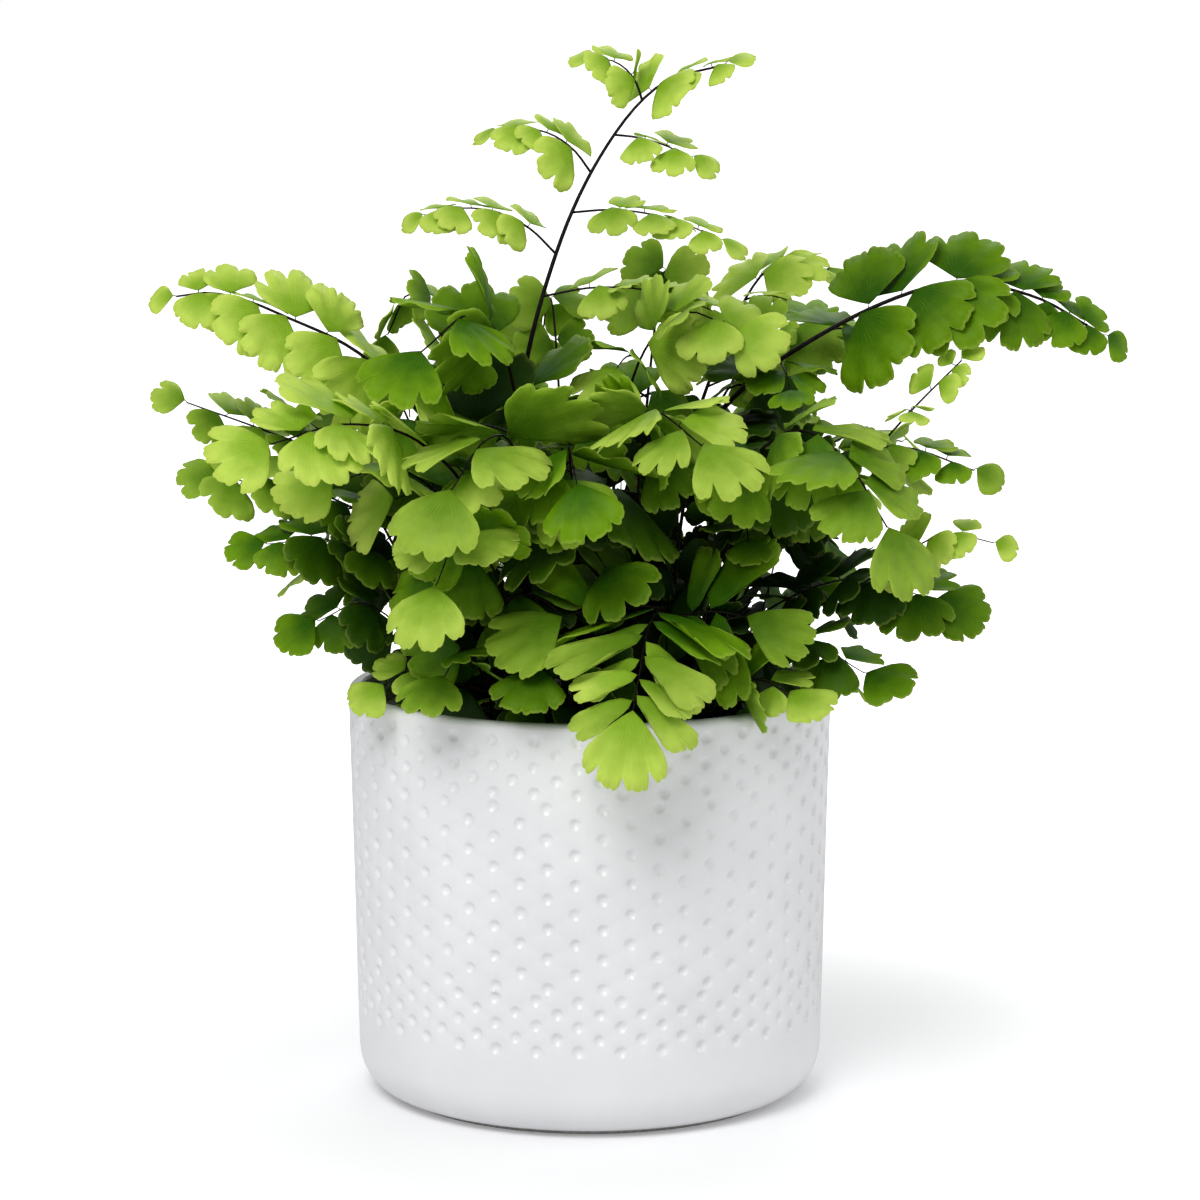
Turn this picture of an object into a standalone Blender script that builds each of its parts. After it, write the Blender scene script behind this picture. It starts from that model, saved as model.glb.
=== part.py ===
"""A maidenhair fern in a dimpled white ceramic pot.

The pot, the soil and every frond are one object each. The origin is the centre of the pot's foot, +Z is up
and -Y is the side that the plant is looked at from. The driving dimensions and the fronds' lines are in
millimetres; Blender's units are metres.

A frond is a wiry black stem that bends over and carries alternate side branches, and the branches and the
end of the stem carry alternate fan-shaped leaflets. Each leaflet hangs from its branch, faces the light, and
is turned until it is clear of everything that grew before it.
"""

import bisect
import math
import random
from collections import namedtuple

import bpy
from mathutils import Matrix, Vector
from mathutils.bvhtree import BVHTree
from mathutils.geometry import interpolate_bezier, intersect_ray_tri

MM = 0.001
UP = Vector((0, 0, 1))

# Pot, in millimetres.
RIM_RADIUS = 65.0
BODY_RADIUS = 62.8
POT_HEIGHT = 110.5
WALL = 3.8
FLOOR = 5.0
FOOT_RADIUS = 53.0
FOOT_HEIGHT = 1.4
FOOT_INSET = 1.6
CORNER_HEIGHT = 13.0
LIP = 1.6
INNER_LIP = 1.0
POT_SIDES = 36
DIMPLE_ROWS = 13
DIMPLE_DEPTH = 0.8
DIMPLE_BAND = (17.0, 101.0)

# The smallest gap between two pieces that touch, in millimetres.
SEAT = 0.3

# Soil, in millimetres.
SOIL_EDGE = 96.0
SOIL_MOUND = 4.0
SOIL_ROUGHNESS = 0.5
SOIL_RINGS = (12.0, 24.0, 36.0, 48.0)

# Fronds, in millimetres and degrees.
SEED = 11
ROOT_DEPTH = 9.0
CLEARANCE = 0.35
RIB_RADIUS = 0.7
STEM_RADII = (1.05, RIB_RADIUS)
BRANCH_RADII = (RIB_RADIUS, RIB_RADIUS)
STEM_KNEE = 0.55
TEST_STEP = 6.0
BARE_BRANCH = 0.22
NECK = 2.2
EDGE_SAG = 0.25
NOTCH = 0.80
SHOULDER = 0.83
SAG = 0.16
TILE_TURN = 14.0
TILE_JITTER = 9.0
SWING = (64.0, 76.0)
HANG = (0.15, 0.4)
FIRST_LEAF = 1.5
SMALL_LEAF = 16.5
SIZE_JITTER = 0.12
BRANCH_ANGLE = 58.0
BRANCH_PIECES = 4
BRANCH_JITTER = 0.15
# What a branch tries in turn: (further turned away from the stem, share of its length kept).
BRANCH_TRIES = ((0, 1), (12, 1), (-14, 1), (22, 0.8), (-24, 0.8), (0, 0.6))
# What a leaflet tries in turn: how far it is pitched and twisted, and then the share of its size kept.
LEAF_TURNS = [(0, 0)]
for turn in (10, 20, 32, 45):
    LEAF_TURNS += [(-turn, 0), (turn, 0), (0, turn), (0, -turn)]
LEAF_SHRINKS = (1.0, 0.82, 0.66)
YOUNG_GREEN = Vector((0.40, 0.62, 0.11))
OLD_GREEN = Vector((0.055, 0.15, 0.03))

Frond = namedtuple("Frond", "name knots bare gap span tip leaf crowding face tilt droop spread fan age")
Leaf = namedtuple("Leaf", "base along normal size fan lobes")
Station = namedtuple("Station", "point up across radius side edge rim")


def frond(name, *knots, bare=0.45, gap=15, span=(34, 12), tip=34, leaf=(15, 12), crowding=0.52,
          face=None, tilt=0.6, droop=35, spread=None, fan=55, age=0.5):
    """One row of the table below. knots are the points that the stem runs through, from the soil to the tip.

    bare is the share of the stem with no branches, gap the distance between branches, span the length of the
    first and last branch, tip the length of the stem that carries leaflets itself, leaf their length at the
    frond's foot and tip, crowding the step between leaflets in leaf lengths, face the direction that the
    blades lean towards (None is the way that the frond grows) and tilt how far, droop how steeply the
    branches end, spread the direction of its left branches (None is square to the way that it grows), fan
    half the angle that a leaflet spans, and age how dark its green is, from 0 to 1."""
    grows = math.degrees(math.atan2(knots[-1][1] - knots[0][1], knots[-1][0] - knots[0][0]))
    face = grows if face is None else face
    spread = grows + 90 if spread is None else spread
    return Frond(name, knots, bare, gap, span, tip, leaf, crowding, face, tilt, droop, spread, fan, age)


FRONT = -90
FRONDS = [
    frond("frond_tall", (-17, 0), (-18, -5, 150), (-18, -5, 190), (-9, -2, 226), (3, 3, 252),
          (18, 5, 270), (36, 3, 276), bare=0.6, gap=11.8, span=(50, 18), tip=23, leaf=(12.5, 8),
          crowding=0.55, face=FRONT, tilt=0.45, droop=25, spread=180, age=0.1),
    frond("frond_right_arch", (14, 5), (18, 4, 150), (35, 0, 184), (62, -10, 206), (92, -15, 219),
          (116, -12, 216), (136, -7, 205), bare=0.42, gap=14, span=(36, 22), tip=72, leaf=(23, 9),
          crowding=0.4, face=FRONT, tilt=1.0, droop=35, age=0.85),
    frond("frond_upper_left", (-26, -6), (-30, -16, 160), (-54, -33, 198), (-80, -35, 213),
          (-96, -32, 218), (-107, -29, 217), bare=0.52, gap=15, span=(24, 14), tip=60, leaf=(23, 8),
          crowding=0.44, face=FRONT, tilt=1.1, droop=35, age=0.3),
    frond("frond_crown", (-12, -17), (-17, -20, 170), (-22, -32, 203), (-30, -48, 214), (-42, -66, 206),
          bare=0.55, gap=13, span=(28, 20), tip=38, leaf=(23, 19), face=-100, tilt=1.5, droop=50,
          age=0.75),
    frond("frond_left_bright", (-22, -23), (-28, -38, 158), (-42, -54, 181), (-60, -68, 188),
          (-79, -77, 184), bare=0.52, gap=15, span=(26, 14), tip=48, leaf=(22, 17), crowding=0.43,
          face=-100, tilt=1.0, droop=30, age=0.0),
    frond("frond_front_left", (-9, -27), (-13, -37, 150), (-19, -54, 180), (-26, -69, 184),
          (-34, -81, 173), bare=0.5, gap=13, span=(28, 16), tip=34, leaf=(22, 20), tilt=1.2, droop=55,
          age=0.5),
    frond("frond_front_lower", (-16, -33), (-21, -42, 135), (-28, -57, 157), (-33, -69, 160),
          (-38, -79, 149), bare=0.5, gap=13, span=(22, 14), tip=30, leaf=(20, 18), tilt=1.2, droop=50,
          age=0.5),
    frond("frond_front_middle", (0, -23), (-3, -34, 150), (-5, -51, 178), (-5, -66, 182),
          (-3, -77, 174), bare=0.5, gap=13, span=(20, 14), tip=30, leaf=(20, 17), tilt=1.2, droop=45,
          age=0.6),
    frond("frond_centre_bright", (9, -20), (12, -28, 155), (14, -48, 183), (17, -66, 191),
          (28, -81, 184), bare=0.55, gap=14, span=(26, 14), tip=42, leaf=(22, 18), crowding=0.36,
          tilt=1.0, droop=35, fan=46, age=0.25),
    frond("frond_right_fan", (18, -19), (32, -28, 158), (50, -44, 183), (64, -59, 179), (75, -69, 162),
          bare=0.55, gap=13, span=(26, 16), tip=48, leaf=(20, 18), crowding=0.42, face=-65, tilt=1.1,
          droop=45, fan=46, age=0.55),
    frond("frond_over_rim", (18, -30), (20, -41, 124), (19, -52, 139), (15, -67, 136), (13, -77, 128),
          (11, -84, 118), bare=0.5, gap=7, span=(24, 24), tip=36, leaf=(26, 20), crowding=0.19,
          face=-92, tilt=1.7, droop=15, spread=180, fan=19, age=0.5),
    frond("frond_front_skirt_left", (-23, -33), (-25, -37, 112), (-32, -50, 128), (-37, -59, 122),
          bare=0.45, gap=11, span=(20, 12), tip=24, leaf=(17, 15), tilt=1.2, droop=50, age=0.75),
    frond("frond_front_skirt_middle", (-3, -36), (-6, -42, 114), (-10, -53, 129), (-13, -62, 125),
          bare=0.45, gap=11, span=(20, 12), tip=24, leaf=(17, 15), tilt=1.2, droop=50, age=0.8),
    frond("frond_right_low", (27, -8), (42, -18, 129), (68, -28, 143), (90, -33, 138),
          bare=0.45, gap=13, span=(28, 16), tip=38, leaf=(18, 15), crowding=0.42, face=-70, tilt=0.8,
          droop=30, age=0.95),
    frond("frond_right_rim", (33, -18), (40, -29, 115), (55, -38, 128), (71, -46, 121),
          bare=0.4, gap=11, span=(22, 14), tip=32, leaf=(18, 14), crowding=0.44, face=-70, tilt=0.8,
          droop=30, age=0.9),
    frond("frond_rim_sprig_right", (28, -34), (33, -42, 110), (42, -51, 120), (51, -59, 118),
          bare=0.45, gap=9, span=(12, 8), tip=20, leaf=(14, 12), face=-75, tilt=1.1, droop=35, age=0.35),
    frond("frond_rim_sprig_left", (-33, -27), (-37, -33, 111), (-45, -38, 120), (-53, -42, 117),
          bare=0.45, gap=9, span=(13, 9), tip=18, leaf=(11, 10), face=-100, tilt=1.1, droop=25, age=0.3),
    frond("frond_far_left", (-24, 3), (-38, 4, 148), (-62, 4, 168), (-86, 4, 178), (-108, 4, 186),
          bare=0.45, gap=14, span=(34, 16), tip=34, leaf=(13, 10), crowding=0.6, face=FRONT, tilt=0.7,
          droop=20, age=0.6),
    frond("frond_left_middle", (-30, 0), (-42, -4, 142), (-70, -6, 162), (-98, -8, 167),
          bare=0.45, gap=13, span=(28, 12), tip=36, leaf=(14, 11), face=-110, tilt=0.8, droop=35, age=0.75),
    frond("frond_left_low", (-33, -11), (-44, -14, 132), (-66, -18, 151), (-85, -20, 151),
          bare=0.45, gap=13, span=(24, 12), tip=34, leaf=(13, 12), face=-110, tilt=0.8, droop=40, age=0.95),
    frond("frond_left_skirt", (-31, -20), (-42, -22, 120), (-58, -27, 136), (-71, -30, 132),
          bare=0.45, gap=13, span=(20, 10), tip=28, leaf=(15, 12), face=-110, tilt=1.0, droop=40, age=1.0),
    frond("frond_young_upper", (24, 4), (42, -6, 140), (68, -20, 168), (84, -26, 187), (97, -25, 200),
          bare=0.6, gap=12, span=(18, 9), tip=12, leaf=(7, 6), crowding=0.7, face=FRONT, tilt=0.9,
          droop=15, age=0.1),
    frond("frond_young_lower", (32, -2), (50, -14, 126), (74, -22, 142), (92, -24, 154),
          (106, -25, 152), bare=0.6, gap=13, span=(14, 9), tip=22, leaf=(9, 7), crowding=0.8,
          face=FRONT, tilt=0.9, droop=30, age=0.1),
    frond("frond_back_right", (15, 19), (24, 26, 160), (38, 46, 200), (52, 66, 219), (68, 82, 216),
          bare=0.5, gap=15, span=(30, 14), tip=34, leaf=(15, 12), tilt=0.5, droop=25, age=0.3),
    frond("frond_middle_right", (21, 11), (26, 14, 160), (40, 20, 192), (56, 24, 205), (74, 26, 202),
          bare=0.5, gap=14, span=(30, 14), tip=32, leaf=(16, 13), face=-60, tilt=0.6, droop=30, age=0.6),
    frond("frond_middle", (4, 2), (6, -8, 160), (12, -14, 196), (24, -20, 212), (38, -26, 208),
          bare=0.58, gap=13, span=(28, 14), tip=30, leaf=(16, 14), face=-80, tilt=0.9, droop=35, age=0.4),
    frond("frond_inner_left", (-7, -8), (-6, -22, 122), (-6, -36, 142), (-9, -47, 140),
          bare=0.5, gap=12, span=(22, 14), tip=26, leaf=(15, 14), crowding=0.6, tilt=1.0, droop=45,
          age=0.7),
    frond("frond_inner_middle", (5, -9), (6, -23, 122), (6, -36, 143), (5, -46, 141),
          bare=0.5, gap=12, span=(22, 14), tip=26, leaf=(15, 14), crowding=0.6, tilt=1.0, droop=45,
          age=0.8),
    frond("frond_inner_right", (14, -8), (16, -23, 122), (25, -38, 143), (34, -49, 141),
          bare=0.5, gap=12, span=(24, 14), tip=26, leaf=(15, 14), crowding=0.6, tilt=1.0, droop=45,
          age=0.7),
    frond("frond_right_shoulder", (24, -14), (36, -20, 150), (58, -26, 172), (80, -30, 178),
          (100, -32, 172), bare=0.5, gap=14, span=(24, 12), tip=36, leaf=(14, 9), face=-70, tilt=0.6,
          droop=30, age=0.65),
    frond("frond_left_shoulder", (-19, -14), (-30, -22, 150), (-48, -32, 172), (-66, -42, 170),
          bare=0.5, gap=14, span=(24, 12), tip=30, leaf=(18, 15), face=-105, tilt=0.9, droop=40, age=0.5),
]

# The rest of the clump grows by rule: (how many, azimuth of the first and last, how far from the middle the
# roots are, how far out and how high it reaches, leaf length).
CLUMPS = {
    "back_outer": (6, (25, 165), 31, 98, 178, 15),
    "back_inner": (4, (70, 150), 22, 66, 208, 14),
    "low": (4, (35, 160), 40, 82, 132, 13),
}
# Where its stem bends, as shares of the way out from the root and of the way up from the soil.
CLUMP_BENDS = ((0.28, 0.5), (0.6, 0.93), (0.82, 1.0), (1.0, 0.9))
AZIMUTH_JITTER = 5.0
REACH_JITTER = 0.12
HEIGHT_JITTER = 0.07


def clump_fronds():
    """The fronds that only show as a mass: each bends over outwards from its own place in the clump."""
    fronds = []
    for clump, (count, (first, last), root, reach, height, leaf) in CLUMPS.items():
        for k in range(count):
            draw = random.Random(f"{SEED} {clump} {k}")
            azimuth = first + (last - first) * k / (count - 1) + draw.uniform(-AZIMUTH_JITTER, AZIMUTH_JITTER)
            away = compass(azimuth).xy
            far = reach * draw.uniform(1 - REACH_JITTER, 1 + REACH_JITTER)
            top = height * draw.uniform(1 - HEIGHT_JITTER, 1 + HEIGHT_JITTER)
            knots = [tuple(away * root)]
            for out, rise in CLUMP_BENDS:
                knots.append((*(away * (root + (far - root) * out)), SOIL_EDGE + (top - SOIL_EDGE) * rise))
            fronds.append(frond(f"frond_{clump}_{k + 1}", *knots, bare=0.42, gap=16, span=(30, 13), tip=36,
                                leaf=(leaf, leaf - 2), crowding=0.66, age=0.55))
    return fronds


# ---------------------------------------------------------------- lines and directions


class Line:
    """A smooth line through a few points, read by distance along it."""

    def __init__(self, knots):
        ends = [2 * knots[0] - knots[1], *knots, 2 * knots[-1] - knots[-2]]
        self.points = [knots[0]]
        for before, a, b, after in zip(ends, ends[1:], ends[2:], ends[3:]):
            self.points += interpolate_bezier(a, a + (b - before) / 6, b - (after - a) / 6, b, 12)[1:]
        self.reach = [0.0]
        for a, b in zip(self.points, self.points[1:]):
            self.reach.append(self.reach[-1] + (b - a).length)
        self.length = self.reach[-1]

    def at(self, distance):
        """(point, unit tangent) at a distance from the start."""
        k = min(max(bisect.bisect(self.reach, distance), 1), len(self.points) - 1)
        a, b = self.points[k - 1], self.points[k]
        share = (distance - self.reach[k - 1]) / (self.reach[k] - self.reach[k - 1])
        return a.lerp(b, share), (b - a).normalized()


def square(vector, axis):
    """vector made square to the unit axis, at unit length."""
    return (vector - axis * vector.dot(axis)).normalized()


def compass(degrees):
    return Vector((math.cos(math.radians(degrees)), math.sin(math.radians(degrees)), 0))


def soil_height(x, y):
    """Height of the soil at a place: a low mound with a gentle unevenness."""
    mound = SOIL_MOUND * (1 - (x * x + y * y) / (BODY_RADIUS - WALL) ** 2)
    return SOIL_EDGE + mound + SOIL_ROUGHNESS * math.sin(0.21 * x + 0.6) * math.cos(0.17 * y)


# ---------------------------------------------------------------- growth


def stem_line(row):
    """The frond's stem. It starts ROOT_DEPTH under the soil, and is straight there."""
    x, y = row.knots[0]
    root = Vector((x, y, soil_height(x, y)))
    knots = [root, *(Vector(k) for k in row.knots[1:])]
    rise = (knots[1] - root).normalized()
    return Line([root - rise * ROOT_DEPTH, root + rise, *knots[1:]])


def branch_line(row, stem, distance, side, length, turn):
    """A side branch: it leaves the stem at an angle and bends over towards the droop."""
    start, tangent = stem.at(distance)
    sideways = square(compass(row.spread), tangent) * -side
    angle = math.radians(BRANCH_ANGLE + turn)
    first = tangent * math.cos(angle) + sideways * math.sin(angle)
    level = (Vector((first.x, first.y, 0)) + sideways * 0.3).normalized()
    last = level * math.cos(math.radians(row.droop)) - UP * math.sin(math.radians(row.droop))
    knots = [start]
    for k in range(BRANCH_PIECES):
        heading = first.lerp(last, (k + 0.5) / BRANCH_PIECES).normalized()
        knots.append(knots[-1] + heading * length / BRANCH_PIECES)
    return Line(knots)


def rim_points(leaf, swell=0.0):
    """A leaflet's edge from its left to its right shoulder: rounded lobes between notches."""
    length = leaf.size + swell
    right = leaf.along.cross(leaf.normal)
    rim = []
    for k in range(3 * leaf.lobes - 1):
        lobe, place = divmod(k, 3)
        across = (lobe + (0.22, 0.78, 1.0)[place]) / leaf.lobes * 2 - 1
        depth = (1 - (1 - SHOULDER) * across * across) * (NOTCH if place == 2 else 1.0)
        angle = math.radians(leaf.fan * across)
        out = leaf.along * math.cos(angle) + right * math.sin(angle)
        rim.append(leaf.base + (out * depth - leaf.normal * (SAG * across * across)) * length)
    return rim


def blade(leaf, swell=0.0, start=0.0):
    """(points, faces) of a leaflet alone, larger all round by swell, without that share next to its stalk."""
    rim = rim_points(leaf, swell)
    root = leaf.base + leaf.along * (leaf.size * start)
    half = leaf.normal * (RIB_RADIUS * (1 - start) + swell)
    points = [root + half, root - half, *rim]
    ring = range(2, len(points))
    faces = [(0, b, a) for a, b in zip(ring, ring[1:])] + [(1, a, b) for a, b in zip(ring, ring[1:])]
    faces += [(0, ring[0], 1), (0, 1, ring[-1])]
    return points, faces


def rod(line, bare, radii, swell=0.0):
    """(points, faces) of a line without its leaflets, for finding out what it would touch."""
    leafy_part = line.length - bare[-1]
    pieces = math.ceil(leafy_part / TEST_STEP)
    marks = bare + [bare[-1] + leafy_part * (k + 1) / pieces for k in range(pieces)]
    stations = []
    for distance in marks:
        point, tangent = line.at(distance)
        up = square(Vector((0.3, 1, 0.1)), tangent)
        radius = radii[0] + (radii[1] - radii[0]) * distance / line.length + swell
        stations.append(Station(point, up, tangent.cross(up), radius, 0, point, []))
    return spray(stations)


def spray(stations):
    """(points, faces) of a rib with its leaflets, as one closed solid.

    The rib has a ridge above and below it, and an edge at each side. A leaflet fans out from both ridges at
    its own station, where the rib has no edge on that side. Its rim runs into the rib's edge before and
    after it, at the edge points of the two neighbouring stations. Leaflets alternate, and the last one
    closes the rib's end."""
    points, faces, marks = [], [], []
    for station in stations:
        rise = station.up * station.radius
        mark = {"top": len(points), "bottom": len(points) + 1}
        points += [station.point + rise, station.point - rise]
        for side in (-1, 1):
            if side != station.side:
                mark[side] = len(points)
                points.append(station.edge + station.across * (side * station.radius))
        mark["rim"] = list(range(len(points), len(points) + len(station.rim)))
        points += station.rim
        marks.append(mark)
    for ridge, side in (("top", -1), ("bottom", 1), ("top", 1), ("bottom", -1)):
        found = []
        for k, (here, there) in enumerate(zip(marks, marks[1:])):
            leafy_next = stations[k + 1].side == side
            found.append((here[ridge], there[ridge], here[side] if leafy_next else there[side]))
            if not leafy_next and stations[k].side != side:
                found.append((here[ridge], there[side], here[side]))
        for k, mark in enumerate(marks):
            if stations[k].side == side:
                after = marks[k + 1][side] if k + 1 < len(marks) else mark[-side]
                edge = [marks[k - 1][side], *mark["rim"], after]
                found += [(mark[ridge], b, a) for a, b in zip(edge, edge[1:])]
        outward = (ridge == "top") == (side == -1)
        faces += found if outward else [face[::-1] for face in found]
    faces += end_cap(marks[0])
    if stations[-1].side == 0:
        faces += [face[::-1] for face in end_cap(marks[-1])]
    return points, faces


def end_cap(mark):
    return [(mark["top"], mark[-1], mark[1]), (mark["bottom"], mark[1], mark[-1])]


def pierces(points, edge, face):
    """True if an edge runs through a face."""
    start, end = (points[k] for k in edge)
    hit = intersect_ray_tri(*(points[k] for k in face), end - start, start, True)
    return hit is not None and (hit - start).length < (end - start).length


def tangled(stations):
    """True if two faces of a spray meet that have no corner in common."""
    points, faces = spray(stations)
    tree = BVHTree.FromPolygons(points, faces)
    return any(not set(faces[a]) & set(faces[b]) for a, b in tree.overlap(tree))


def leaflet_faces(stations, number):
    """(points, all faces, the faces of the leaflet at one station) of a spray."""
    points, faces = spray(stations)
    rim = {points.index(corner) for corner in stations[number].rim}
    return points, faces, [face for face in faces if rim & set(face)]


def crosses_itself(points, faces, fresh):
    """True if the fresh faces meet the rest of their spray anywhere but along their common edges."""
    pairs = BVHTree.FromPolygons(points, fresh).overlap(BVHTree.FromPolygons(points, faces))
    for a, b in pairs:
        first, second = fresh[a], faces[b]
        shared = set(first) & set(second)
        if not shared:
            return True
        if len(shared) == 1:
            opposite = [[k for k in face if k not in shared] for face in (first, second)]
            if pierces(points, opposite[0], second) or pierces(points, opposite[1], first):
                return True
    return False


def alone(points, faces):
    """The faces with only the points that they use."""
    used = sorted({corner for face in faces for corner in face})
    place = {corner: k for k, corner in enumerate(used)}
    return [points[corner] for corner in used], [[place[corner] for corner in face] for face in faces]


class Space:
    """What has grown so far, for finding out whether a new piece would be clear of it."""

    def __init__(self):
        self.things = []

    def add(self, shape, owner, line=None):
        centre = sum(shape[0], Vector()) / len(shape[0])
        radius = max((p - centre).length for p in shape[0])
        self.things.append((centre, radius, BVHTree.FromPolygons(*shape), owner, line))

    def meets(self, shape, skip):
        """True if the shape touches a thing that skip doesn't leave out."""
        centre = sum(shape[0], Vector()) / len(shape[0])
        radius = max((p - centre).length for p in shape[0])
        tree = BVHTree.FromPolygons(*shape)
        return any(
            tree.overlap(other)
            for middle, size, other, owner, line in self.things
            if (middle - centre).length < radius + size and not skip(owner, line)
        )


def turned(leaf, pitch, twist, scale):
    right = leaf.along.cross(leaf.normal)
    tip = Matrix.Rotation(math.radians(pitch), 3, right)
    roll = Matrix.Rotation(math.radians(twist), 3, leaf.along)
    return leaf._replace(along=tip @ leaf.along, normal=tip @ (roll @ leaf.normal), size=leaf.size * scale)


def settle(leaf, space, owner, line, stations, number):
    """Grows the leaflet at one station, turned clear of what is there already, if it has the room."""
    bare = stations[number]
    for scale in LEAF_SHRINKS:
        for pitch, twist in LEAF_TURNS:
            tried = turned(leaf, pitch, twist, scale)
            if space.meets(blade(tried, CLEARANCE), lambda other, _: other == owner):
                continue
            outer = blade(tried, CLEARANCE, 0.3)
            if space.meets(outer, lambda other, other_line: other != owner or other_line == line):
                continue
            stations[number] = bare._replace(rim=rim_points(tried)[::-bare.side])
            points, faces, fresh = leaflet_faces(stations, number)
            leaflet = alone(points, fresh)
            if crosses_itself(points, faces, fresh) or space.meets(leaflet, lambda other, _: other == owner):
                continue
            space.add(leaflet, owner, line + 1000)
            return
    stations[number] = bare


def leaf_at(row, base, tangent, normal, side, size, draw):
    """A leaflet as it wants to grow: side -1 or 1 is left or right of its rib, and 0 is the rib's end."""
    across = tangent.cross(normal)
    swing = math.radians(draw.uniform(*SWING)) * side
    along = tangent * math.cos(swing) + across * math.sin(swing)
    along = (along - UP * draw.uniform(*HANG)).normalized()
    tile = TILE_TURN * side + draw.uniform(-TILE_JITTER, TILE_JITTER)
    turn = Matrix.Rotation(math.radians(tile), 3, along)
    return Leaf(base, along, turn @ square(normal, along), size, row.fan, 2 if size < SMALL_LEAF else 3)


def leaf_marks(row, line, start, sizes, draw):
    """[(distance, leaflet size)] along a rib from start, with the last one at its end."""
    marks = []
    distance = start
    while True:
        size = sizes[0] + (sizes[1] - sizes[0]) * (distance - start) / (line.length - start)
        if distance > line.length - size * 0.4:
            break
        marks.append((distance, size * draw.uniform(1 - SIZE_JITTER, 1 + SIZE_JITTER)))
        distance += size * row.crowding
    return marks + [(min(distance, line.length), sizes[1] * draw.uniform(0.9, 1.1))]


def rib_edge(line, before, here, wanted):
    """The point of the rib's edge furthest towards wanted that a straight edge can reach from before."""
    far = wanted
    while far > here:
        middle = line.at((before + far) / 2)[0]
        if (middle - line.at(before)[0].lerp(line.at(far)[0], 0.5)).length < EDGE_SAG:
            return line.at(far)[0]
        far -= 0.5
    return line.at(here)[0]


def leafy(row, line, rib, bare, radii, sizes, space, draw):
    """The stations of a rib: bare ones at the given distances, then one for each leaflet."""
    marks = leaf_marks(row, line, bare[-1] + FIRST_LEAF, sizes, draw)
    light = (UP + compass(row.face) * row.tilt).normalized()
    normal = light
    frames = []
    for distance, size in reversed([(b, 0) for b in bare] + marks):
        point, tangent = line.at(distance)
        shaded = size == 0 or abs(light.dot(tangent)) > 0.85
        normal = square(normal if shaded else light, tangent)
        frames.insert(0, (distance, size, point, tangent, normal))
    stations = []
    leaves = {}
    side = draw.choice((-1, 1))
    for distance, size, point, tangent, normal in frames:
        radius = radii[0] + (radii[1] - radii[0]) * distance / line.length
        at_end = distance == frames[-1][0]
        edge = point
        if size:
            leaves[len(stations)] = leaf_at(row, point, tangent, normal, 0 if at_end else side, size, draw)
            side = -side
            before, after = (frames[min(len(stations) + k, len(frames) - 1)][0] for k in (-1, 1))
            edge = rib_edge(line, before, distance, after - NECK)
        across = tangent.cross(normal)
        leaf_side = -side if size else 0
        rim = [point + across * (leaf_side * radius)] if size else []
        stations.append(Station(point, normal, across, radius, leaf_side, edge, rim))
    if rib and tangled(stations):
        return []
    for number, leaf in leaves.items():
        settle(leaf, space, row.name, rib, stations, number)
    return stations


def branch_marks(row, stem):
    """The distances along a stem where its branches leave it."""
    start, end = stem.length * row.bare, stem.length - row.tip
    count = max(int((end - start) / row.gap) + 1, 1)
    return [start + row.gap * k for k in range(count)]


def stem_marks(row, stem):
    """The distances of a stem's bare stations, from its root to its first leaflet."""
    marks = branch_marks(row, stem)
    return [0.0, marks[0] * STEM_KNEE, *marks, max(stem.length - row.tip, marks[-1] + 2)]


def grow_branches(row, stem, space):
    """The frond's side branches, each turned or shortened until it is clear of the other fronds."""
    draw = random.Random(f"{SEED} {row.name} branches")
    side = draw.choice((-1, 1))
    marks = branch_marks(row, stem)
    branches = []
    for k, distance in enumerate(marks):
        share = k / max(len(marks) - 1, 1)
        length = row.span[0] + (row.span[1] - row.span[0]) * share
        length *= draw.uniform(1 - BRANCH_JITTER, 1 + BRANCH_JITTER)
        for turn, keep in BRANCH_TRIES:
            branch = branch_line(row, stem, distance, side, length * keep, turn)
            bare = [0.0, branch.length * BARE_BRANCH]
            wide = rod(branch, bare, BRANCH_RADII, 2 * CLEARANCE)
            if not space.meets(wide, lambda other, _: other == row.name):
                branches.append(branch)
                space.add(rod(branch, bare, BRANCH_RADII), row.name, len(branches))
                break
        side = -side
    return branches


def grow(rows, walls):
    """{frond name: its ribs' stations}, with every frond clear of the others and of the walls."""
    space = Space()
    for wall in walls:
        space.add(wall, "wall")
    stems = {row.name: stem_line(row) for row in rows}
    for row in rows:
        stem = stems[row.name]
        space.add(rod(stem, stem_marks(row, stem), STEM_RADII), row.name, 0)
    branches = {row.name: grow_branches(row, stems[row.name], space) for row in rows}
    ribs = {}
    for row in rows:
        stem = stems[row.name]
        draw = random.Random(f"{SEED} {row.name} leaves")
        found = [leafy(row, stem, 0, stem_marks(row, stem), STEM_RADII, row.leaf, space, draw)]
        for number, branch in enumerate(branches[row.name], 1):
            share = number / (len(branches[row.name]) + 1)
            foot = row.leaf[0] + (row.leaf[1] - row.leaf[0]) * share * 0.6
            bare = [0.0, branch.length * BARE_BRANCH]
            found.append(leafy(row, branch, number, bare, BRANCH_RADII, (foot, row.leaf[1]), space, draw))
        ribs[row.name] = [rib for rib in found if rib]
    return ribs


# ---------------------------------------------------------------- solids


def new_object(name, points, faces, finish=None):
    mesh = bpy.data.meshes.new(name)
    mesh.from_pydata([p * MM for p in points], [], faces)
    mesh.validate()
    obj = bpy.data.objects.new(name, mesh)
    bpy.context.scene.collection.objects.link(obj)
    if finish:
        mesh.materials.append(finish)
    return obj


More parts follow.
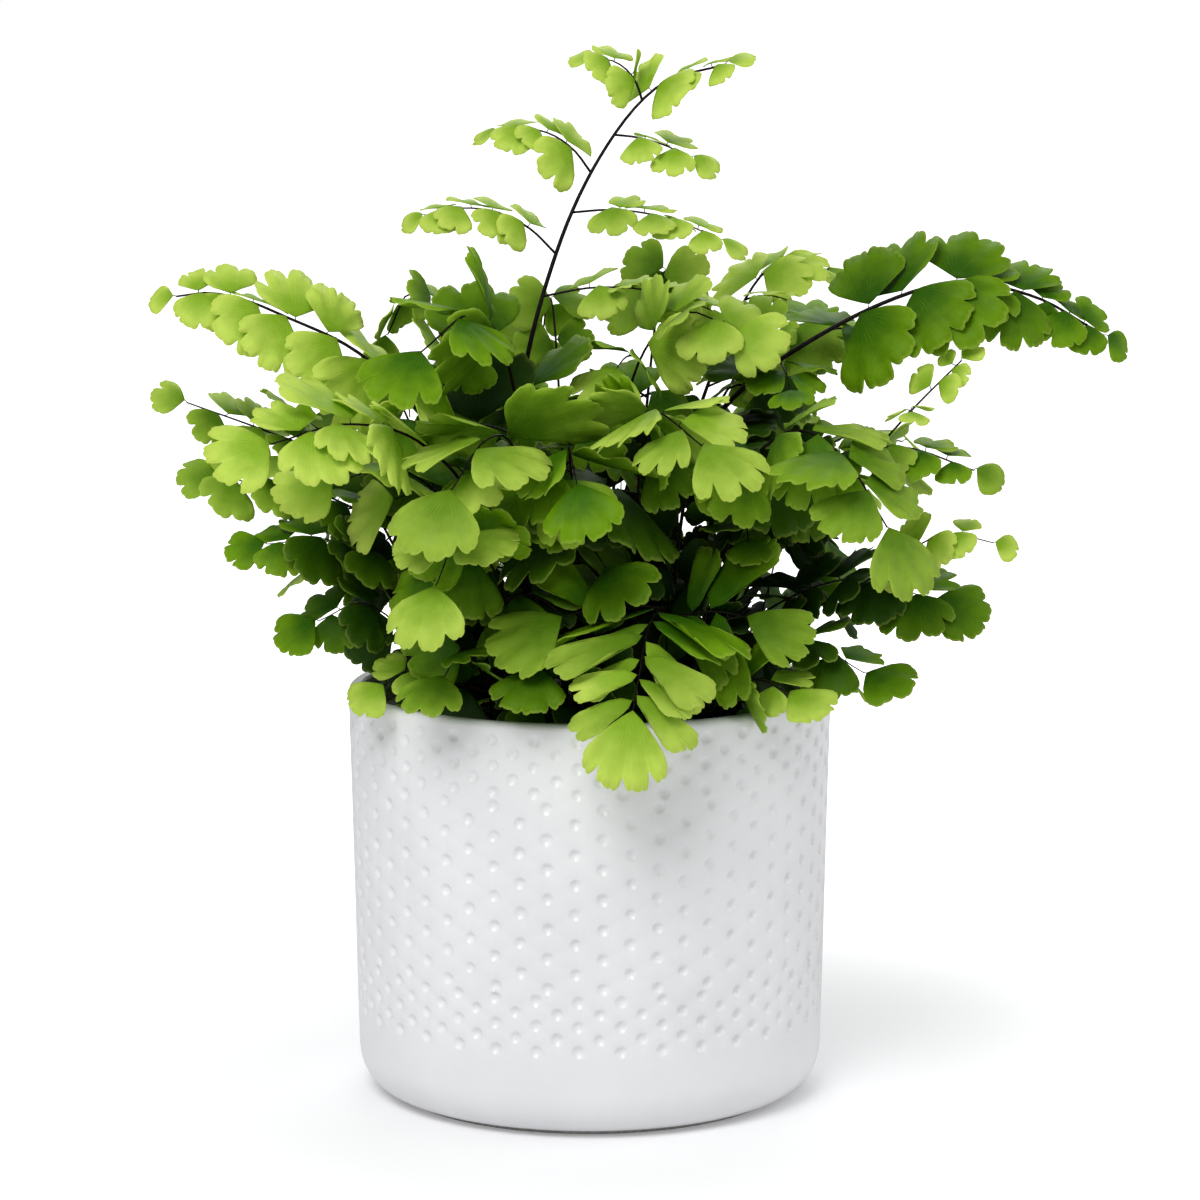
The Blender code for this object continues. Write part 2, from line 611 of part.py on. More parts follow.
def material(name, colour, roughness):
    made = bpy.data.materials.new(name)
    made.use_nodes = True
    shader = made.node_tree.nodes["Principled BSDF"]
    shader.inputs["Base Color"].default_value = (*colour, 1)
    shader.inputs["Roughness"].default_value = roughness
    shader.inputs["Metallic"].default_value = 0.0
    return made


def arc(centre, radii, first, last, steps):
    """Points (radius, height) on an elliptic arc, its ends included."""
    angles = [math.radians(first + (last - first) * k / steps) for k in range(steps + 1)]
    return [(centre[0] + radii[0] * math.cos(a), centre[1] + radii[1] * math.sin(a)) for a in angles]


def wall_radius(height):
    """Outer radius of the pot's plain wall at a height."""
    share = (height - CORNER_HEIGHT) / (POT_HEIGHT - LIP - CORNER_HEIGHT)
    return BODY_RADIUS + (RIM_RADIUS - BODY_RADIUS) * share


def inner_rings(gap):
    """(radius, height) of the pot's inner wall under the lip, at a gap from it: its foot, then its floor."""
    low = CORNER_HEIGHT + FLOOR
    radius = wall_radius(low) - WALL - gap
    return [(radius, low), (radius - CORNER_HEIGHT * 0.5, FLOOR + gap)]


def pot_rings():
    """The pot's rings from the middle of the foot, up the outside, over the lip and down to the inner floor.

    Each is (radius, height, dimple), where dimple is 0 or 1 on the rows whose every other point is sunk."""
    corner = BODY_RADIUS - FOOT_RADIUS - FOOT_INSET
    rings = [(FOOT_RADIUS, 0.0, None), (FOOT_RADIUS, FOOT_HEIGHT, None)]
    rings += [(r, z, None) for r, z in arc(
        (BODY_RADIUS - corner, CORNER_HEIGHT), (corner, CORNER_HEIGHT - FOOT_HEIGHT), -90, 0, 3)]
    low, high = DIMPLE_BAND
    for k in range(DIMPLE_ROWS + 1):
        height = low + (high - low) * k / DIMPLE_ROWS
        edge = k in (0, DIMPLE_ROWS)
        rings.append((wall_radius(height), height, None if edge else k % 2))
    lip = POT_HEIGHT - LIP
    rings += [(r, z, None) for r, z in arc((RIM_RADIUS - LIP, lip), (LIP, LIP), 0, 90, 2)]
    inner_lip = (RIM_RADIUS - WALL + INNER_LIP, lip)
    rings += [(r, z, None) for r, z in arc(inner_lip, (INNER_LIP, LIP), 90, 180, 2)]
    return rings + [(r, z, None) for r, z in inner_rings(0.0)]


def around(s, radius, height):
    """The point on side s of a ring of the pot or the soil."""
    return compass(360 * s / POT_SIDES) * radius + UP * height


def pot_shape():
    points, faces = [Vector((0, 0, 0))], []
    rings = pot_rings()
    for radius, height, dimple in rings:
        for s in range(POT_SIDES):
            sunk = DIMPLE_DEPTH if dimple is not None and (s + dimple) % 2 == 0 else 0.0
            points.append(around(s, radius - sunk, height))
    points.append(Vector((0, 0, FLOOR)))
    for s in range(POT_SIDES):
        t = (s + 1) % POT_SIDES
        faces.append((0, 1 + t, 1 + s))
        for k, (_, _, dimple) in enumerate(rings[:-1]):
            a, b = 1 + k * POT_SIDES + s, 1 + k * POT_SIDES + t
            c, d = b + POT_SIDES, a + POT_SIDES
            sunk_first = dimple is not None and (s + dimple) % 2 == 0
            above = rings[k + 1][2]
            sunk_above = above is not None and (t + above) % 2 == 0
            if sunk_first or sunk_above:
                faces += [(a, b, d), (b, c, d)]
            else:
                faces += [(a, b, c), (a, c, d)]
        last = 1 + (len(rings) - 1) * POT_SIDES
        faces.append((len(points) - 1, last + s, last + t))
    return points, faces


def soil_shape():
    """The soil's surface from the middle outwards, then its side down the pot's wall to the floor."""
    edge = wall_radius(SOIL_EDGE) - WALL - SEAT
    points, faces = [], []
    for radius in (*SOIL_RINGS, edge):
        for s in range(POT_SIDES):
            x, y, _ = around(s, radius, 0)
            points.append(Vector((x, y, soil_height(x, y))))
    for radius, height in inner_rings(SEAT):
        points += [around(s, radius, height) for s in range(POT_SIDES)]
    top = len(points)
    points += [UP * soil_height(0, 0), UP * (FLOOR + SEAT)]
    for s in range(POT_SIDES):
        t = (s + 1) % POT_SIDES
        faces.append((top, s, t))
        for ring in range(POT_SIDES, top, POT_SIDES):
            a, b, c, d = ring + s - POT_SIDES, ring + t - POT_SIDES, ring + s, ring + t
            faces += [(a, c, b), (b, c, d)]
        faces.append((top + 1, top - POT_SIDES + t, top - POT_SIDES + s))
    return points, faces


def boolean(obj, others, operation):
    """Cuts from obj, or joins to it, a list of objects in one step, and removes them."""
    group = bpy.data.collections.new(obj.name)
    for other in others:
        bpy.context.scene.collection.objects.unlink(other)
        group.objects.link(other)
    modifier = obj.modifiers.new("shape", "BOOLEAN")
    modifier.operand_type = "COLLECTION"
    modifier.collection = group
    modifier.operation = operation
    modifier.solver = "MANIFOLD"
    bpy.context.view_layer.update()
    graph = bpy.context.evaluated_depsgraph_get()
    mesh = bpy.data.meshes.new_from_object(obj.evaluated_get(graph))
    obj.modifiers.remove(modifier)
    old = obj.data
    obj.data = mesh
    bpy.data.meshes.remove(old)
    for other in others:
        bpy.data.objects.remove(other)
    bpy.data.collections.remove(group)


def make_frond(row, ribs):
    green = material(row.name, YOUNG_GREEN.lerp(OLD_GREEN, row.age), 0.5)
    stem, *branches = (new_object(row.name, *spray(stations), green) for stations in ribs)
    boolean(stem, branches, "UNION")


def make_soil(grown):
    """The soil with a plain hole around the foot of every stem."""
    obj = new_object("soil", *soil_shape(), material("soil", (0.035, 0.022, 0.014), 0.95))
    holes = []
    for stem, *_ in grown.values():
        foot, above = stem[0], stem[1]
        rise = (above.point - foot.point).normalized()
        ends = []
        for distance in (-CLEARANCE, ROOT_DEPTH * 2):
            end = foot.point + rise * distance
            ends.append(foot._replace(point=end, edge=end, radius=foot.radius + CLEARANCE * math.sqrt(2)))
        holes.append(new_object("hole", *spray(ends)))
    boolean(obj, holes, "DIFFERENCE")


def main():
    for obj in list(bpy.data.objects):
        bpy.data.objects.remove(obj)
    rows = FRONDS + clump_fronds()
    grown = grow(rows, [pot_shape(), soil_shape()])
    for row in rows:
        make_frond(row, grown[row.name])
    new_object("pot", *pot_shape(), material("pot", (0.86, 0.86, 0.87), 0.35))
    make_soil(grown)


main()
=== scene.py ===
"""The looks of a maidenhair fern in a dimpled white ceramic pot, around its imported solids.

The fronds are grown again along the stems of the solids, by the same rules, with every leaflet as a thin
curved blade with a lobed, scalloped edge. Lengths are in millimetres, angles in degrees, and the frame's axes
are those of the solids: +Z is up and -Y is the side that the plant is looked at from.
"""

import bisect
import functools
import random
from collections import namedtuple
from math import atan2, ceil, cos, degrees, pi, radians, sin, sqrt

import bmesh
import bpy
import numpy as np
from mathutils import Matrix, Vector, noise
from mathutils.bvhtree import BVHTree
from mathutils.geometry import delaunay_2d_cdt, interpolate_bezier


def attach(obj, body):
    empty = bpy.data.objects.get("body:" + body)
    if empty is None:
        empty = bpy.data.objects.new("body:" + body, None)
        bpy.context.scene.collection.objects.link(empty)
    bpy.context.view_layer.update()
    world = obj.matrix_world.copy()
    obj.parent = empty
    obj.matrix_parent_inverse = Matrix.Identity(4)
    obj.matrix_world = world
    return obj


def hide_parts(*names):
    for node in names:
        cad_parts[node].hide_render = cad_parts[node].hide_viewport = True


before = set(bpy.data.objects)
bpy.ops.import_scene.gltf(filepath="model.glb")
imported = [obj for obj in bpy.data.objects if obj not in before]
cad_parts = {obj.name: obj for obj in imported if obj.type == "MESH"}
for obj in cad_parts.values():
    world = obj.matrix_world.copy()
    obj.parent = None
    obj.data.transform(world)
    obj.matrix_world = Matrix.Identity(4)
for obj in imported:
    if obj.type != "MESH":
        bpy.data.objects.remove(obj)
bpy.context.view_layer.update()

MM = 0.001
FULL_TURN = 6.28
UP = Vector((0, 0, 1))
# A direction that no rib runs along.
ASKEW = Vector((0.3, 1, 0.1))
# The direction that the plant is looked at from.
FRONT = -90
SEED = 11

# Pot.
RIM_RADIUS = 65.0
BODY_RADIUS = 62.8
POT_HEIGHT = 110.5
WALL = 3.8
FLOOR = 5.0
FOOT_RADIUS = 53.0
FOOT_HEIGHT = 1.4
FOOT_INSET = 1.6
CORNER_HEIGHT = 13.0
LIP = 1.6
POT_SIDES = 144
DIMPLE_RADIUS = 1.7
DIMPLE_DEPTH = 0.95
DIMPLE_SIDES = 12
# A dimple's rings of points, in dimple radii, and how much its place, size and depth vary.
DIMPLE_RINGS = (0.4, 0.68, 0.86, 1.0, 1.15)
DIMPLE_SHIFTS = (0.15, 0.12)
DIMPLE_SIZES = (0.92, 1.06)
DIMPLE_DEPTHS = (0.85, 1.1)
DIMPLE_FLARE = 0.06
# The dimpled wall, from below: (rows, dimples in one row, distance between rows).
DIMPLE_ZONES = ((5, 36, 3.35), (13, 28, 3.95), (5, 36, 3.4))
DIMPLE_START = 24.4
DIMPLE_MARGIN = 2.3

# Soil.
SEAT = 0.3
SOIL_EDGE = 96.0
SOIL_MOUND = 4.0
SOIL_ROUGHNESS = 0.5
SOIL_SIDES = 120
SOIL_STEP = 2.0
# Its lumps and its grain: how fine and how high they are, and where they fade away towards the wall.
SOIL_LUMPS = (0.16, 1.2)
SOIL_GRAIN = (0.9, 0.5)
SOIL_FADE = (3.0, 0.25)
NOISE_SHIFT = 7
SOIL_BROWNS = ((0.012, 0.008, 0.005, 1), (0.035, 0.022, 0.013, 1))
CRUMBS = 420
CRUMB_SIZES = (0.5, 1.5)
CRUMB_STRETCH = ((0.7, 1.6), (0.6, 1.1), (0.5, 0.9))
BARK_BROWNS = ((0.022, 0.014, 0.008, 1), (0.09, 0.055, 0.03, 1))

# Undergrowth.
UNDERGROWTH = 22
UNDERGROWTH_RADIUS = 40.0
UNDERGROWTH_TOP = (118.0, 172.0)
UNDERGROWTH_LEAN = (0.3, 0.6)
UNDERGROWTH_SCATTER = 8
# Where its stems bend, as shares of the way out and of the way up.
UNDERGROWTH_BEND = (0.3, 0.7)
UNDERGROWTH_HABIT = {"bare": 0.3, "gap": 11, "span": (20, 12), "tip": 20, "leaf": (13, 11), "crowding": 0.6,
                     "face": FRONT, "tilt": 0.8, "droop": 25, "age": 0.9}
GOLDEN_ANGLE = 137.5

# Growth.
ROOT_DEPTH = 9.0
CLEARANCE = 0.25
LINE_PIECES = 12
STEM_RADII = (1.0, 0.3)
STEM_LENGTH = 200.0
STEM_SCALES = (0.5, 1.1)
BRANCH_RADII = (0.36, 0.18)
STALK_RADIUS = 0.13
# The distance between the rings of a tube and its sides, for stems and for branches, and a stalk's sides.
STEM_TUBE = (4.0, 8)
BRANCH_TUBE = (2.5, 6)
STALK_SIDES = 5
# A stalk's radii from its rib to its leaflet, in STALK_RADIUS.
STALK_TAPER = (1.2, 1.0, 1.0, 0.7)
STALK = (0.3, 0.9)
BASE_RISE = (0.5, 1.2)
TEST_STEP = 6.0
TEST_RING = 0.55
BARE_BRANCH = 0.22
TILE_TURN = 13.0
TILE_JITTER = 9.0
SIDE_STEP = 1.35
TIP_YOUTH = 0.35
SHELF_GAP = 3.0
SHELF_RADII = (57.0, 125.0)
SHELF_SIDES = 36
OVER_THE_RIM = ("frond_over_rim", "frond_rim_sprig_left", "frond_rim_sprig_right")
# The heart of the clump, where leaflets get painted shade: an ellipsoid's centre and half widths.
CLUMP_CENTRE = (4, 0, 146)
CLUMP_SIZE = (88, 74, 58)
# How much painted shade the heart adds to a leaflet's darkness, and how it fades towards the outside.
HEART_SHADE = 0.72
HEART_FADE = 0.6
AGE_JITTER = (-0.1, 0.12)
SWING = (60.0, 84.0)
HANG = (0.05, 0.25)
FIRST_LEAF = 1.5
LAST_BRANCH_GAP = 2
SIZE_JITTER = 0.2
# The leaflet at a rib's end: the room before it, in leaf lengths, and how much its size varies.
END_ROOM = 0.4
END_SIZES = (0.9, 1.1)
# The leaflet opposite another: how far beyond it, in steps between leaflets, and how large.
OPPOSITE_STEP = 0.35
OPPOSITE_SIZE = 0.9
BRANCH_ANGLE = 58.0
BRANCH_PIECES = 4
BRANCH_JITTER = 0.15
BRANCH_SPREAD = 0.3
BRANCH_LEAF_SHARE = 0.6
BRANCH_TRIES = ((0, 1), (12, 1), (-14, 1), (22, 0.8), (-24, 0.8), (0, 0.6))
LEAF_TURNS = [(0, 0)]
for turn in (8, 16, 26, 38):
    LEAF_TURNS += [(-turn, 0), (turn, 0), (0, turn), (0, -turn)]
LEAF_SHRINKS = (1.0, 0.88, 0.76, 0.64)

# A leaflet's blade.
THICKNESS = 0.24
BASE_THINNING = 0.6
EDGE_PIECES = 12
SHOULDER = 0.82
CORNER = 0.24
SKEW = 0.10
SAG = 0.17
TIP_DROOP = 0.12
RUFFLE = 0.04
SCALLOP = 0.024
LOBE = 0.05
NOTCHES = (0.02, 0.18)
NOTCH_WIDTH = 0.05
# How sharply the edge falls away towards its sides, and then at its corners.
SIDE_POWER = 2.4
CORNER_POWER = 11
# Leaflets longer than these have three and four lobes.
LOBE_SIZES = (9, 14)
EXTRA_FAN = (0.0, 10.4)
END_FAN = 42.0
# Narrower fans than these have rounded sides, and have two lobes.
WEDGE_FAN = 52.0
LONG_FAN = 30.0
LEAST_BULGE = 0.08
VEINS = 14.0
SPECULAR = 0.12
# Its greens at the base and at the edge, for a young, a grown and an old leaflet, and a near black one that
# is painted shade for leaflets deep in the clump.
YOUNG_LEAF = (0.30, 0.54, 0.02, 1)
YOUNG_EDGE = (0.73, 0.89, 0.16, 1)
GROWN_LEAF = (0.035, 0.15, 0.001, 1)
GROWN_EDGE = (0.24, 0.46, 0.007, 1)
OLD_LEAF = (0.010, 0.05, 0.001, 1)
OLD_EDGE = (0.04, 0.12, 0.003, 1)
PAINTED_SHADE_LEAF = (0.004, 0.016, 0.0005, 1)
# The values, of how old a leaflet is plus its painted shade, between which it turns grown, then old, and then
# near black with painted shade.
AGE_AND_SHADE_STEPS = ((0.0, 0.42), (0.5, 1.0), (0.95, 1.45))

# Studio, in metres.
FLOOR_GLOW = (0.17, 1.0)
FLOOR_FADE = (0.08, 0.34)
FLOOR_REACH = 30.0
WORLD_LIGHT = 0.46
# Each lamp's place, what it points at, its width and its power.
LAMPS = {
    "key": ((-0.36, -1.0, 1.15), (0, 0, 0.16), 0.8, 12.5),
    "fill": ((1.1, 0.1, 0.5), (0, 0, 0.12), 0.9, 2.6),
    "back": ((0.1, 0.9, 0.8), (0, 0, 0.2), 0.8, 3.5),
}
CAMERA_PLACE = (0.00276, -1.1, 0.3)
CAMERA_PITCH = 8.63
CAMERA_LENS = 124.05

Frond = namedtuple("Frond", "name knots bare gap span tip leaf crowding face tilt droop spread fan age")
Leaf = namedtuple("Leaf", "base along normal size fan skew lobes age notches phase")

USUAL_FROND = {"bare": 0.5, "gap": 13, "span": (22, 14), "tip": 34, "leaf": (15, 14), "crowding": 0.52,
               "tilt": 1.0, "droop": 35, "fan": 55, "age": 0.5}


def frond(name, *knots, **choices):
    """One row of the table below. knots are the points that the stem runs through, from the soil to the tip.

    bare is the share of the stem with no branches, gap the distance between them, span the length of the
    first and the last, tip the length of the stem that carries leaflets itself, leaf their length at the
    frond's foot and tip, crowding the step between them in leaf lengths, face the direction that blades lean
    towards (as a rule the frond's own) and tilt how far, droop how steeply the branches end, spread the
    direction of the left ones (as a rule square to the frond), fan half the angle that a leaflet spans, and
    age how dark its green is, from 0 for new to 1.2 for oldest: from about 1 up, this is painted shade."""
    grows = degrees(atan2(knots[-1][1] - knots[0][1], knots[-1][0] - knots[0][0]))
    return Frond(name, knots, **{**USUAL_FROND, "face": grows, "spread": grows + 90, **choices})


FRONDS = [
    frond("frond_tall", (-17, 0), (-18, -5, 150), (-18, -5, 190), (-9, -2, 226), (3, 3, 252), (18, 5, 270),
        (36, 3, 276), bare=0.6, gap=11.8, span=(50, 18), tip=23, leaf=(12.5, 8), crowding=0.55, face=FRONT,
        tilt=0.45, droop=25, spread=180, age=0.1),
    frond("frond_right_arch", (14, 5), (18, 4, 150), (35, 0, 184), (62, -10, 206), (92, -15, 219),
        (116, -12, 216), (136, -7, 205), bare=0.42, gap=14, span=(36, 22), tip=72, leaf=(23, 9),
        crowding=0.4, face=FRONT, age=0.85),
    frond("frond_upper_left", (-26, -6), (-30, -16, 160), (-54, -33, 198), (-80, -35, 213), (-96, -32, 218),
        (-107, -29, 217), bare=0.52, gap=15, span=(24, 14), tip=60, leaf=(23, 8), crowding=0.44, face=FRONT,
        tilt=1.1, age=0.1),
    frond("frond_crown", (-12, -17), (-17, -20, 170), (-22, -32, 203), (-30, -48, 214), (-42, -66, 206),
        bare=0.55, span=(28, 20), tip=38, leaf=(23, 19), face=-100, tilt=1.5, droop=50, age=0.75),
    frond("frond_left_bright", (-22, -23), (-28, -38, 158), (-42, -54, 181), (-60, -68, 188),
        (-79, -77, 184), bare=0.52, gap=15, span=(26, 14), tip=48, leaf=(22, 17), crowding=0.43, face=-100,
        droop=30, age=0.0),
    frond("frond_front_left", (-9, -27), (-13, -37, 150), (-19, -54, 180), (-26, -69, 184), (-34, -81, 173),
        span=(28, 16), leaf=(22, 20), tilt=1.2, droop=55),
    frond("frond_front_lower", (-16, -33), (-21, -42, 135), (-28, -57, 157), (-33, -69, 160),
        (-38, -79, 149), tip=30, leaf=(20, 18), tilt=1.2, droop=50),
    frond("frond_front_middle", (0, -23), (-3, -34, 150), (-5, -51, 178), (-5, -66, 182), (-3, -77, 174),
        span=(20, 14), tip=30, leaf=(20, 17), tilt=1.2, droop=45, age=0.75),
    frond("frond_centre_bright", (9, -20), (12, -28, 155), (14, -48, 183), (17, -66, 191), (28, -81, 184),
        bare=0.55, gap=14, span=(26, 14), tip=42, leaf=(22, 18), crowding=0.36, fan=46, age=0.4),
    frond("frond_right_fan", (18, -19), (32, -28, 158), (50, -44, 183), (64, -59, 179), (75, -69, 162),
        bare=0.55, span=(26, 16), tip=48, leaf=(20, 18), crowding=0.42, face=-65, tilt=1.1, droop=45,
        fan=46, age=0.55),
    frond("frond_over_rim", (18, -30), (20, -41, 124), (19, -52, 139), (15, -67, 136), (13, -77, 128),
        (11, -84, 118), gap=7, span=(24, 24), tip=36, leaf=(26, 20), crowding=0.19, face=-92, tilt=1.7,
        droop=15, spread=180, fan=19, age=0.35),
    frond("frond_front_skirt_left", (-23, -33), (-25, -37, 112), (-32, -50, 128), (-37, -59, 122),
        bare=0.45, gap=11, span=(20, 12), tip=24, leaf=(17, 15), tilt=1.2, droop=50, age=0.75),
    frond("frond_front_skirt_middle", (-3, -36), (-6, -42, 114), (-10, -53, 129), (-13, -62, 125),
        bare=0.45, gap=11, span=(20, 12), tip=24, leaf=(17, 15), tilt=1.2, droop=50, age=0.8),
    frond("frond_right_low", (27, -8), (42, -18, 129), (68, -28, 143), (90, -33, 138), bare=0.45,
        span=(28, 16), tip=38, leaf=(18, 15), crowding=0.42, face=-70, tilt=0.8, droop=30, age=0.95),
    frond("frond_right_rim", (33, -18), (40, -29, 115), (55, -38, 128), (71, -46, 121), bare=0.4, gap=11,
        tip=32, leaf=(18, 14), crowding=0.44, face=-70, tilt=0.8, droop=30, age=0.9),
    frond("frond_rim_sprig_right", (28, -34), (33, -42, 110), (42, -51, 120), (51, -59, 118), bare=0.45,
        gap=9, span=(12, 8), tip=20, leaf=(14, 12), face=-75, tilt=1.1, age=0.35),
    frond("frond_rim_sprig_left", (-33, -27), (-37, -33, 111), (-45, -38, 120), (-53, -42, 117), bare=0.45,
        gap=9, span=(13, 9), tip=18, leaf=(11, 10), face=-100, tilt=1.1, droop=25, age=0.3),
    frond("frond_far_left", (-24, 3), (-38, 4, 148), (-62, 4, 168), (-86, 4, 178), (-108, 4, 186),
        bare=0.45, gap=14, span=(34, 16), leaf=(13, 10), crowding=0.6, face=FRONT, tilt=0.7, droop=20),
    frond("frond_left_middle", (-30, 0), (-42, -4, 142), (-70, -6, 162), (-98, -8, 167), bare=0.45,
        span=(28, 12), tip=36, leaf=(14, 11), face=-110, tilt=0.8, age=0.6),
    frond("frond_left_low", (-33, -11), (-44, -14, 132), (-66, -18, 151), (-85, -20, 151), bare=0.45,
        span=(24, 12), leaf=(13, 12), face=-110, tilt=0.8, droop=40, age=0.8),
    frond("frond_left_skirt", (-31, -20), (-42, -22, 120), (-58, -27, 136), (-71, -30, 132), bare=0.45,
        span=(20, 10), tip=28, leaf=(15, 12), face=-110, droop=40, age=0.85),
    frond("frond_young_upper", (24, 4), (42, -6, 140), (68, -20, 168), (84, -26, 187), (97, -25, 200),
        bare=0.6, gap=12, span=(18, 9), tip=12, leaf=(7, 6), crowding=0.7, face=FRONT, tilt=0.9, droop=15,
        age=0.1),
    frond("frond_young_lower", (32, -2), (50, -14, 126), (74, -22, 142), (92, -24, 154), (106, -25, 152),
        bare=0.6, span=(14, 9), tip=22, leaf=(9, 7), crowding=0.8, face=FRONT, tilt=0.9, droop=30, age=0.1),
    frond("frond_back_right", (15, 19), (24, 26, 160), (38, 46, 200), (52, 66, 219), (68, 82, 216), gap=15,
        span=(30, 14), leaf=(15, 12), tilt=0.5, droop=25, age=0.15),
    frond("frond_middle_right", (21, 11), (26, 14, 160), (40, 20, 192), (56, 24, 205), (74, 26, 202),
        gap=14, span=(30, 14), tip=32, leaf=(16, 13), face=-60, tilt=0.6, droop=30, age=0.6),
    frond("frond_middle", (4, 2), (6, -8, 160), (12, -14, 196), (24, -20, 212), (38, -26, 208), bare=0.58,
        span=(28, 14), tip=30, leaf=(16, 14), face=-80, tilt=0.9, age=0.4),
    # The inner fronds' values above 1 are painted shade, which darkens the heart of the clump.
    frond("frond_inner_left", (-7, -8), (-6, -22, 122), (-6, -36, 142), (-9, -47, 140), gap=12, tip=26,
        crowding=0.6, droop=45, age=1.15),
    frond("frond_inner_middle", (5, -9), (6, -23, 122), (6, -36, 143), (5, -46, 141), gap=12, tip=26,
        crowding=0.6, droop=45, age=1.15),
    frond("frond_inner_right", (14, -8), (16, -23, 122), (25, -38, 143), (34, -49, 141), gap=12,
        span=(24, 14), tip=26, crowding=0.6, droop=45, age=1.1),
    frond("frond_right_shoulder", (24, -14), (36, -20, 150), (58, -26, 172), (80, -30, 178),
        (100, -32, 172), gap=14, span=(24, 12), tip=36, leaf=(14, 9), face=-70, tilt=0.6, droop=30,
        age=0.65),
    frond("frond_left_shoulder", (-19, -14), (-30, -22, 150), (-48, -32, 172), (-66, -42, 170), gap=14,
        span=(24, 12), tip=30, leaf=(18, 15), face=-105, tilt=0.9, droop=40, age=0.15),
]

# The rest of the clump grows by rule: (how many, azimuth of the first and last, how far from the middle the
# roots are, how far out and how high it reaches, leaf length).
CLUMPS = {
    "back_outer": (6, (25, 165), 31, 98, 178, 15),
    "back_inner": (4, (70, 150), 22, 66, 208, 14),
    "low": (4, (35, 160), 40, 82, 132, 13),
}
# Where its stem bends, as shares of the way out from the root and of the way up from the soil.
CLUMP_BENDS = ((0.28, 0.5), (0.6, 0.93), (0.82, 1.0), (1.0, 0.9))
CLUMP_HABIT = {"bare": 0.42, "gap": 16, "span": (30, 13), "tip": 36, "crowding": 0.66, "tilt": 0.6,
               "age": 0.55}
AZIMUTH_JITTER = 5.0
REACH_JITTER = 0.12
HEIGHT_JITTER = 0.07


def clump_fronds():
    """The fronds that only show as a mass: each bends over outwards from its own place in the clump."""
    fronds = []
    for clump, (count, (first, last), root, reach, height, leaf) in CLUMPS.items():
        for k in range(count):
            draw = seeded(f"{clump} {k}")
            azimuth = first + (last - first) * k / (count - 1) + draw.uniform(-AZIMUTH_JITTER, AZIMUTH_JITTER)
            away = compass(azimuth).xy
            far = reach * draw.uniform(1 - REACH_JITTER, 1 + REACH_JITTER)
            top = height * draw.uniform(1 - HEIGHT_JITTER, 1 + HEIGHT_JITTER)
            knots = [tuple(away * root)]
            for out, rise in CLUMP_BENDS:
                knots.append((*(away * (root + (far - root) * out)), SOIL_EDGE + (top - SOIL_EDGE) * rise))
            fronds.append(frond(f"frond_{clump}_{k + 1}", *knots, leaf=(leaf, leaf - 2), **CLUMP_HABIT))
    return fronds


# ---- lines, directions and rings


class Line:
    """A smooth line through a few points, read by distance along it."""

    def __init__(self, knots):
        ends = [2 * knots[0] - knots[1], *knots, 2 * knots[-1] - knots[-2]]
        self.points = [knots[0]]
        for before, a, b, after in zip(ends, ends[1:], ends[2:], ends[3:]):
            handles = (a + (b - before) / 6, b - (after - a) / 6)
            self.points += interpolate_bezier(a, *handles, b, LINE_PIECES)[1:]
        self.reach = [0.0]
        for a, b in zip(self.points, self.points[1:]):
            self.reach.append(self.reach[-1] + (b - a).length)
        self.length = self.reach[-1]

    def at(self, distance):
        """(point, unit tangent) at a distance from the start."""
        k = min(max(bisect.bisect(self.reach, distance), 1), len(self.points) - 1)
        a, b = self.points[k - 1], self.points[k]
        share = (distance - self.reach[k - 1]) / (self.reach[k] - self.reach[k - 1])
        return a.lerp(b, share), (b - a).normalized()


def seeded(name):
    """A source of random numbers, the same for the same name."""
    return random.Random(f"{SEED} {name}")


def square(vector, axis):
    """vector made square to the unit axis, at unit length."""
    return (vector - axis * vector.dot(axis)).normalized()


def compass(azimuth):
    return Vector((cos(radians(azimuth)), sin(radians(azimuth)), 0))


def rings(profile, sides):
    """The points of rings round the middle of the pot, from the (radius, height) of each."""
    points = []
    for radius, height in profile:
        points += [compass(360 * s / sides) * radius + UP * height for s in range(sides)]
    return points


def closed_up(skin, sides, first=None, last=None):
    """(points, faces) from rings of points, closed by a middle point at an end where one is given."""
    faces = []
    for k in range(0, len(skin) - sides, sides):
        for a in range(k, k + sides):
            b = k + (a + 1) % sides
            faces += [(a, b, b + sides), (a, b + sides, a + sides)]
    end = len(skin) - sides
    if first is not None:
        faces += [(len(skin), (s + 1) % sides, s) for s in range(sides)]
        skin = [*skin, first]
    if last is not None:
        faces += [(len(skin), end + s, end + (s + 1) % sides) for s in range(sides)]
        skin = [*skin, last]
    return skin, faces


def joined(shapes):
    """One (points, faces) from several."""
    points, faces = [], []
    for shape_points, shape_faces in shapes:
        faces += [tuple(corner + len(points) for corner in face) for face in shape_faces]
        points += shape_points
    return np.array(points), np.array(faces)


def soil_height(x, y):
    """Height of the soil at a place: a low mound with a gentle unevenness."""
    mound = SOIL_MOUND * (1 - (x * x + y * y) / (BODY_RADIUS - WALL) ** 2)
    return SOIL_EDGE + mound + SOIL_ROUGHNESS * sin(0.21 * x + 0.6) * cos(0.17 * y)


# ---- growth


def stem_line(row):
    """The frond's stem. It starts ROOT_DEPTH under the soil, and is straight there."""
    x, y = row.knots[0]
    root = Vector((x, y, soil_height(x, y)))
    knots = [root, *(Vector(k) for k in row.knots[1:])]
    rise = (knots[1] - root).normalized()
    return Line([root - rise * ROOT_DEPTH, root + rise, *knots[1:]])


def stem_radii(stem):
    """A stem's radii at its root and tip: longer stems are thicker."""
    scale = min(max(stem.length / STEM_LENGTH, STEM_SCALES[0]), STEM_SCALES[1])
    return STEM_RADII[0] * scale, STEM_RADII[1] * scale


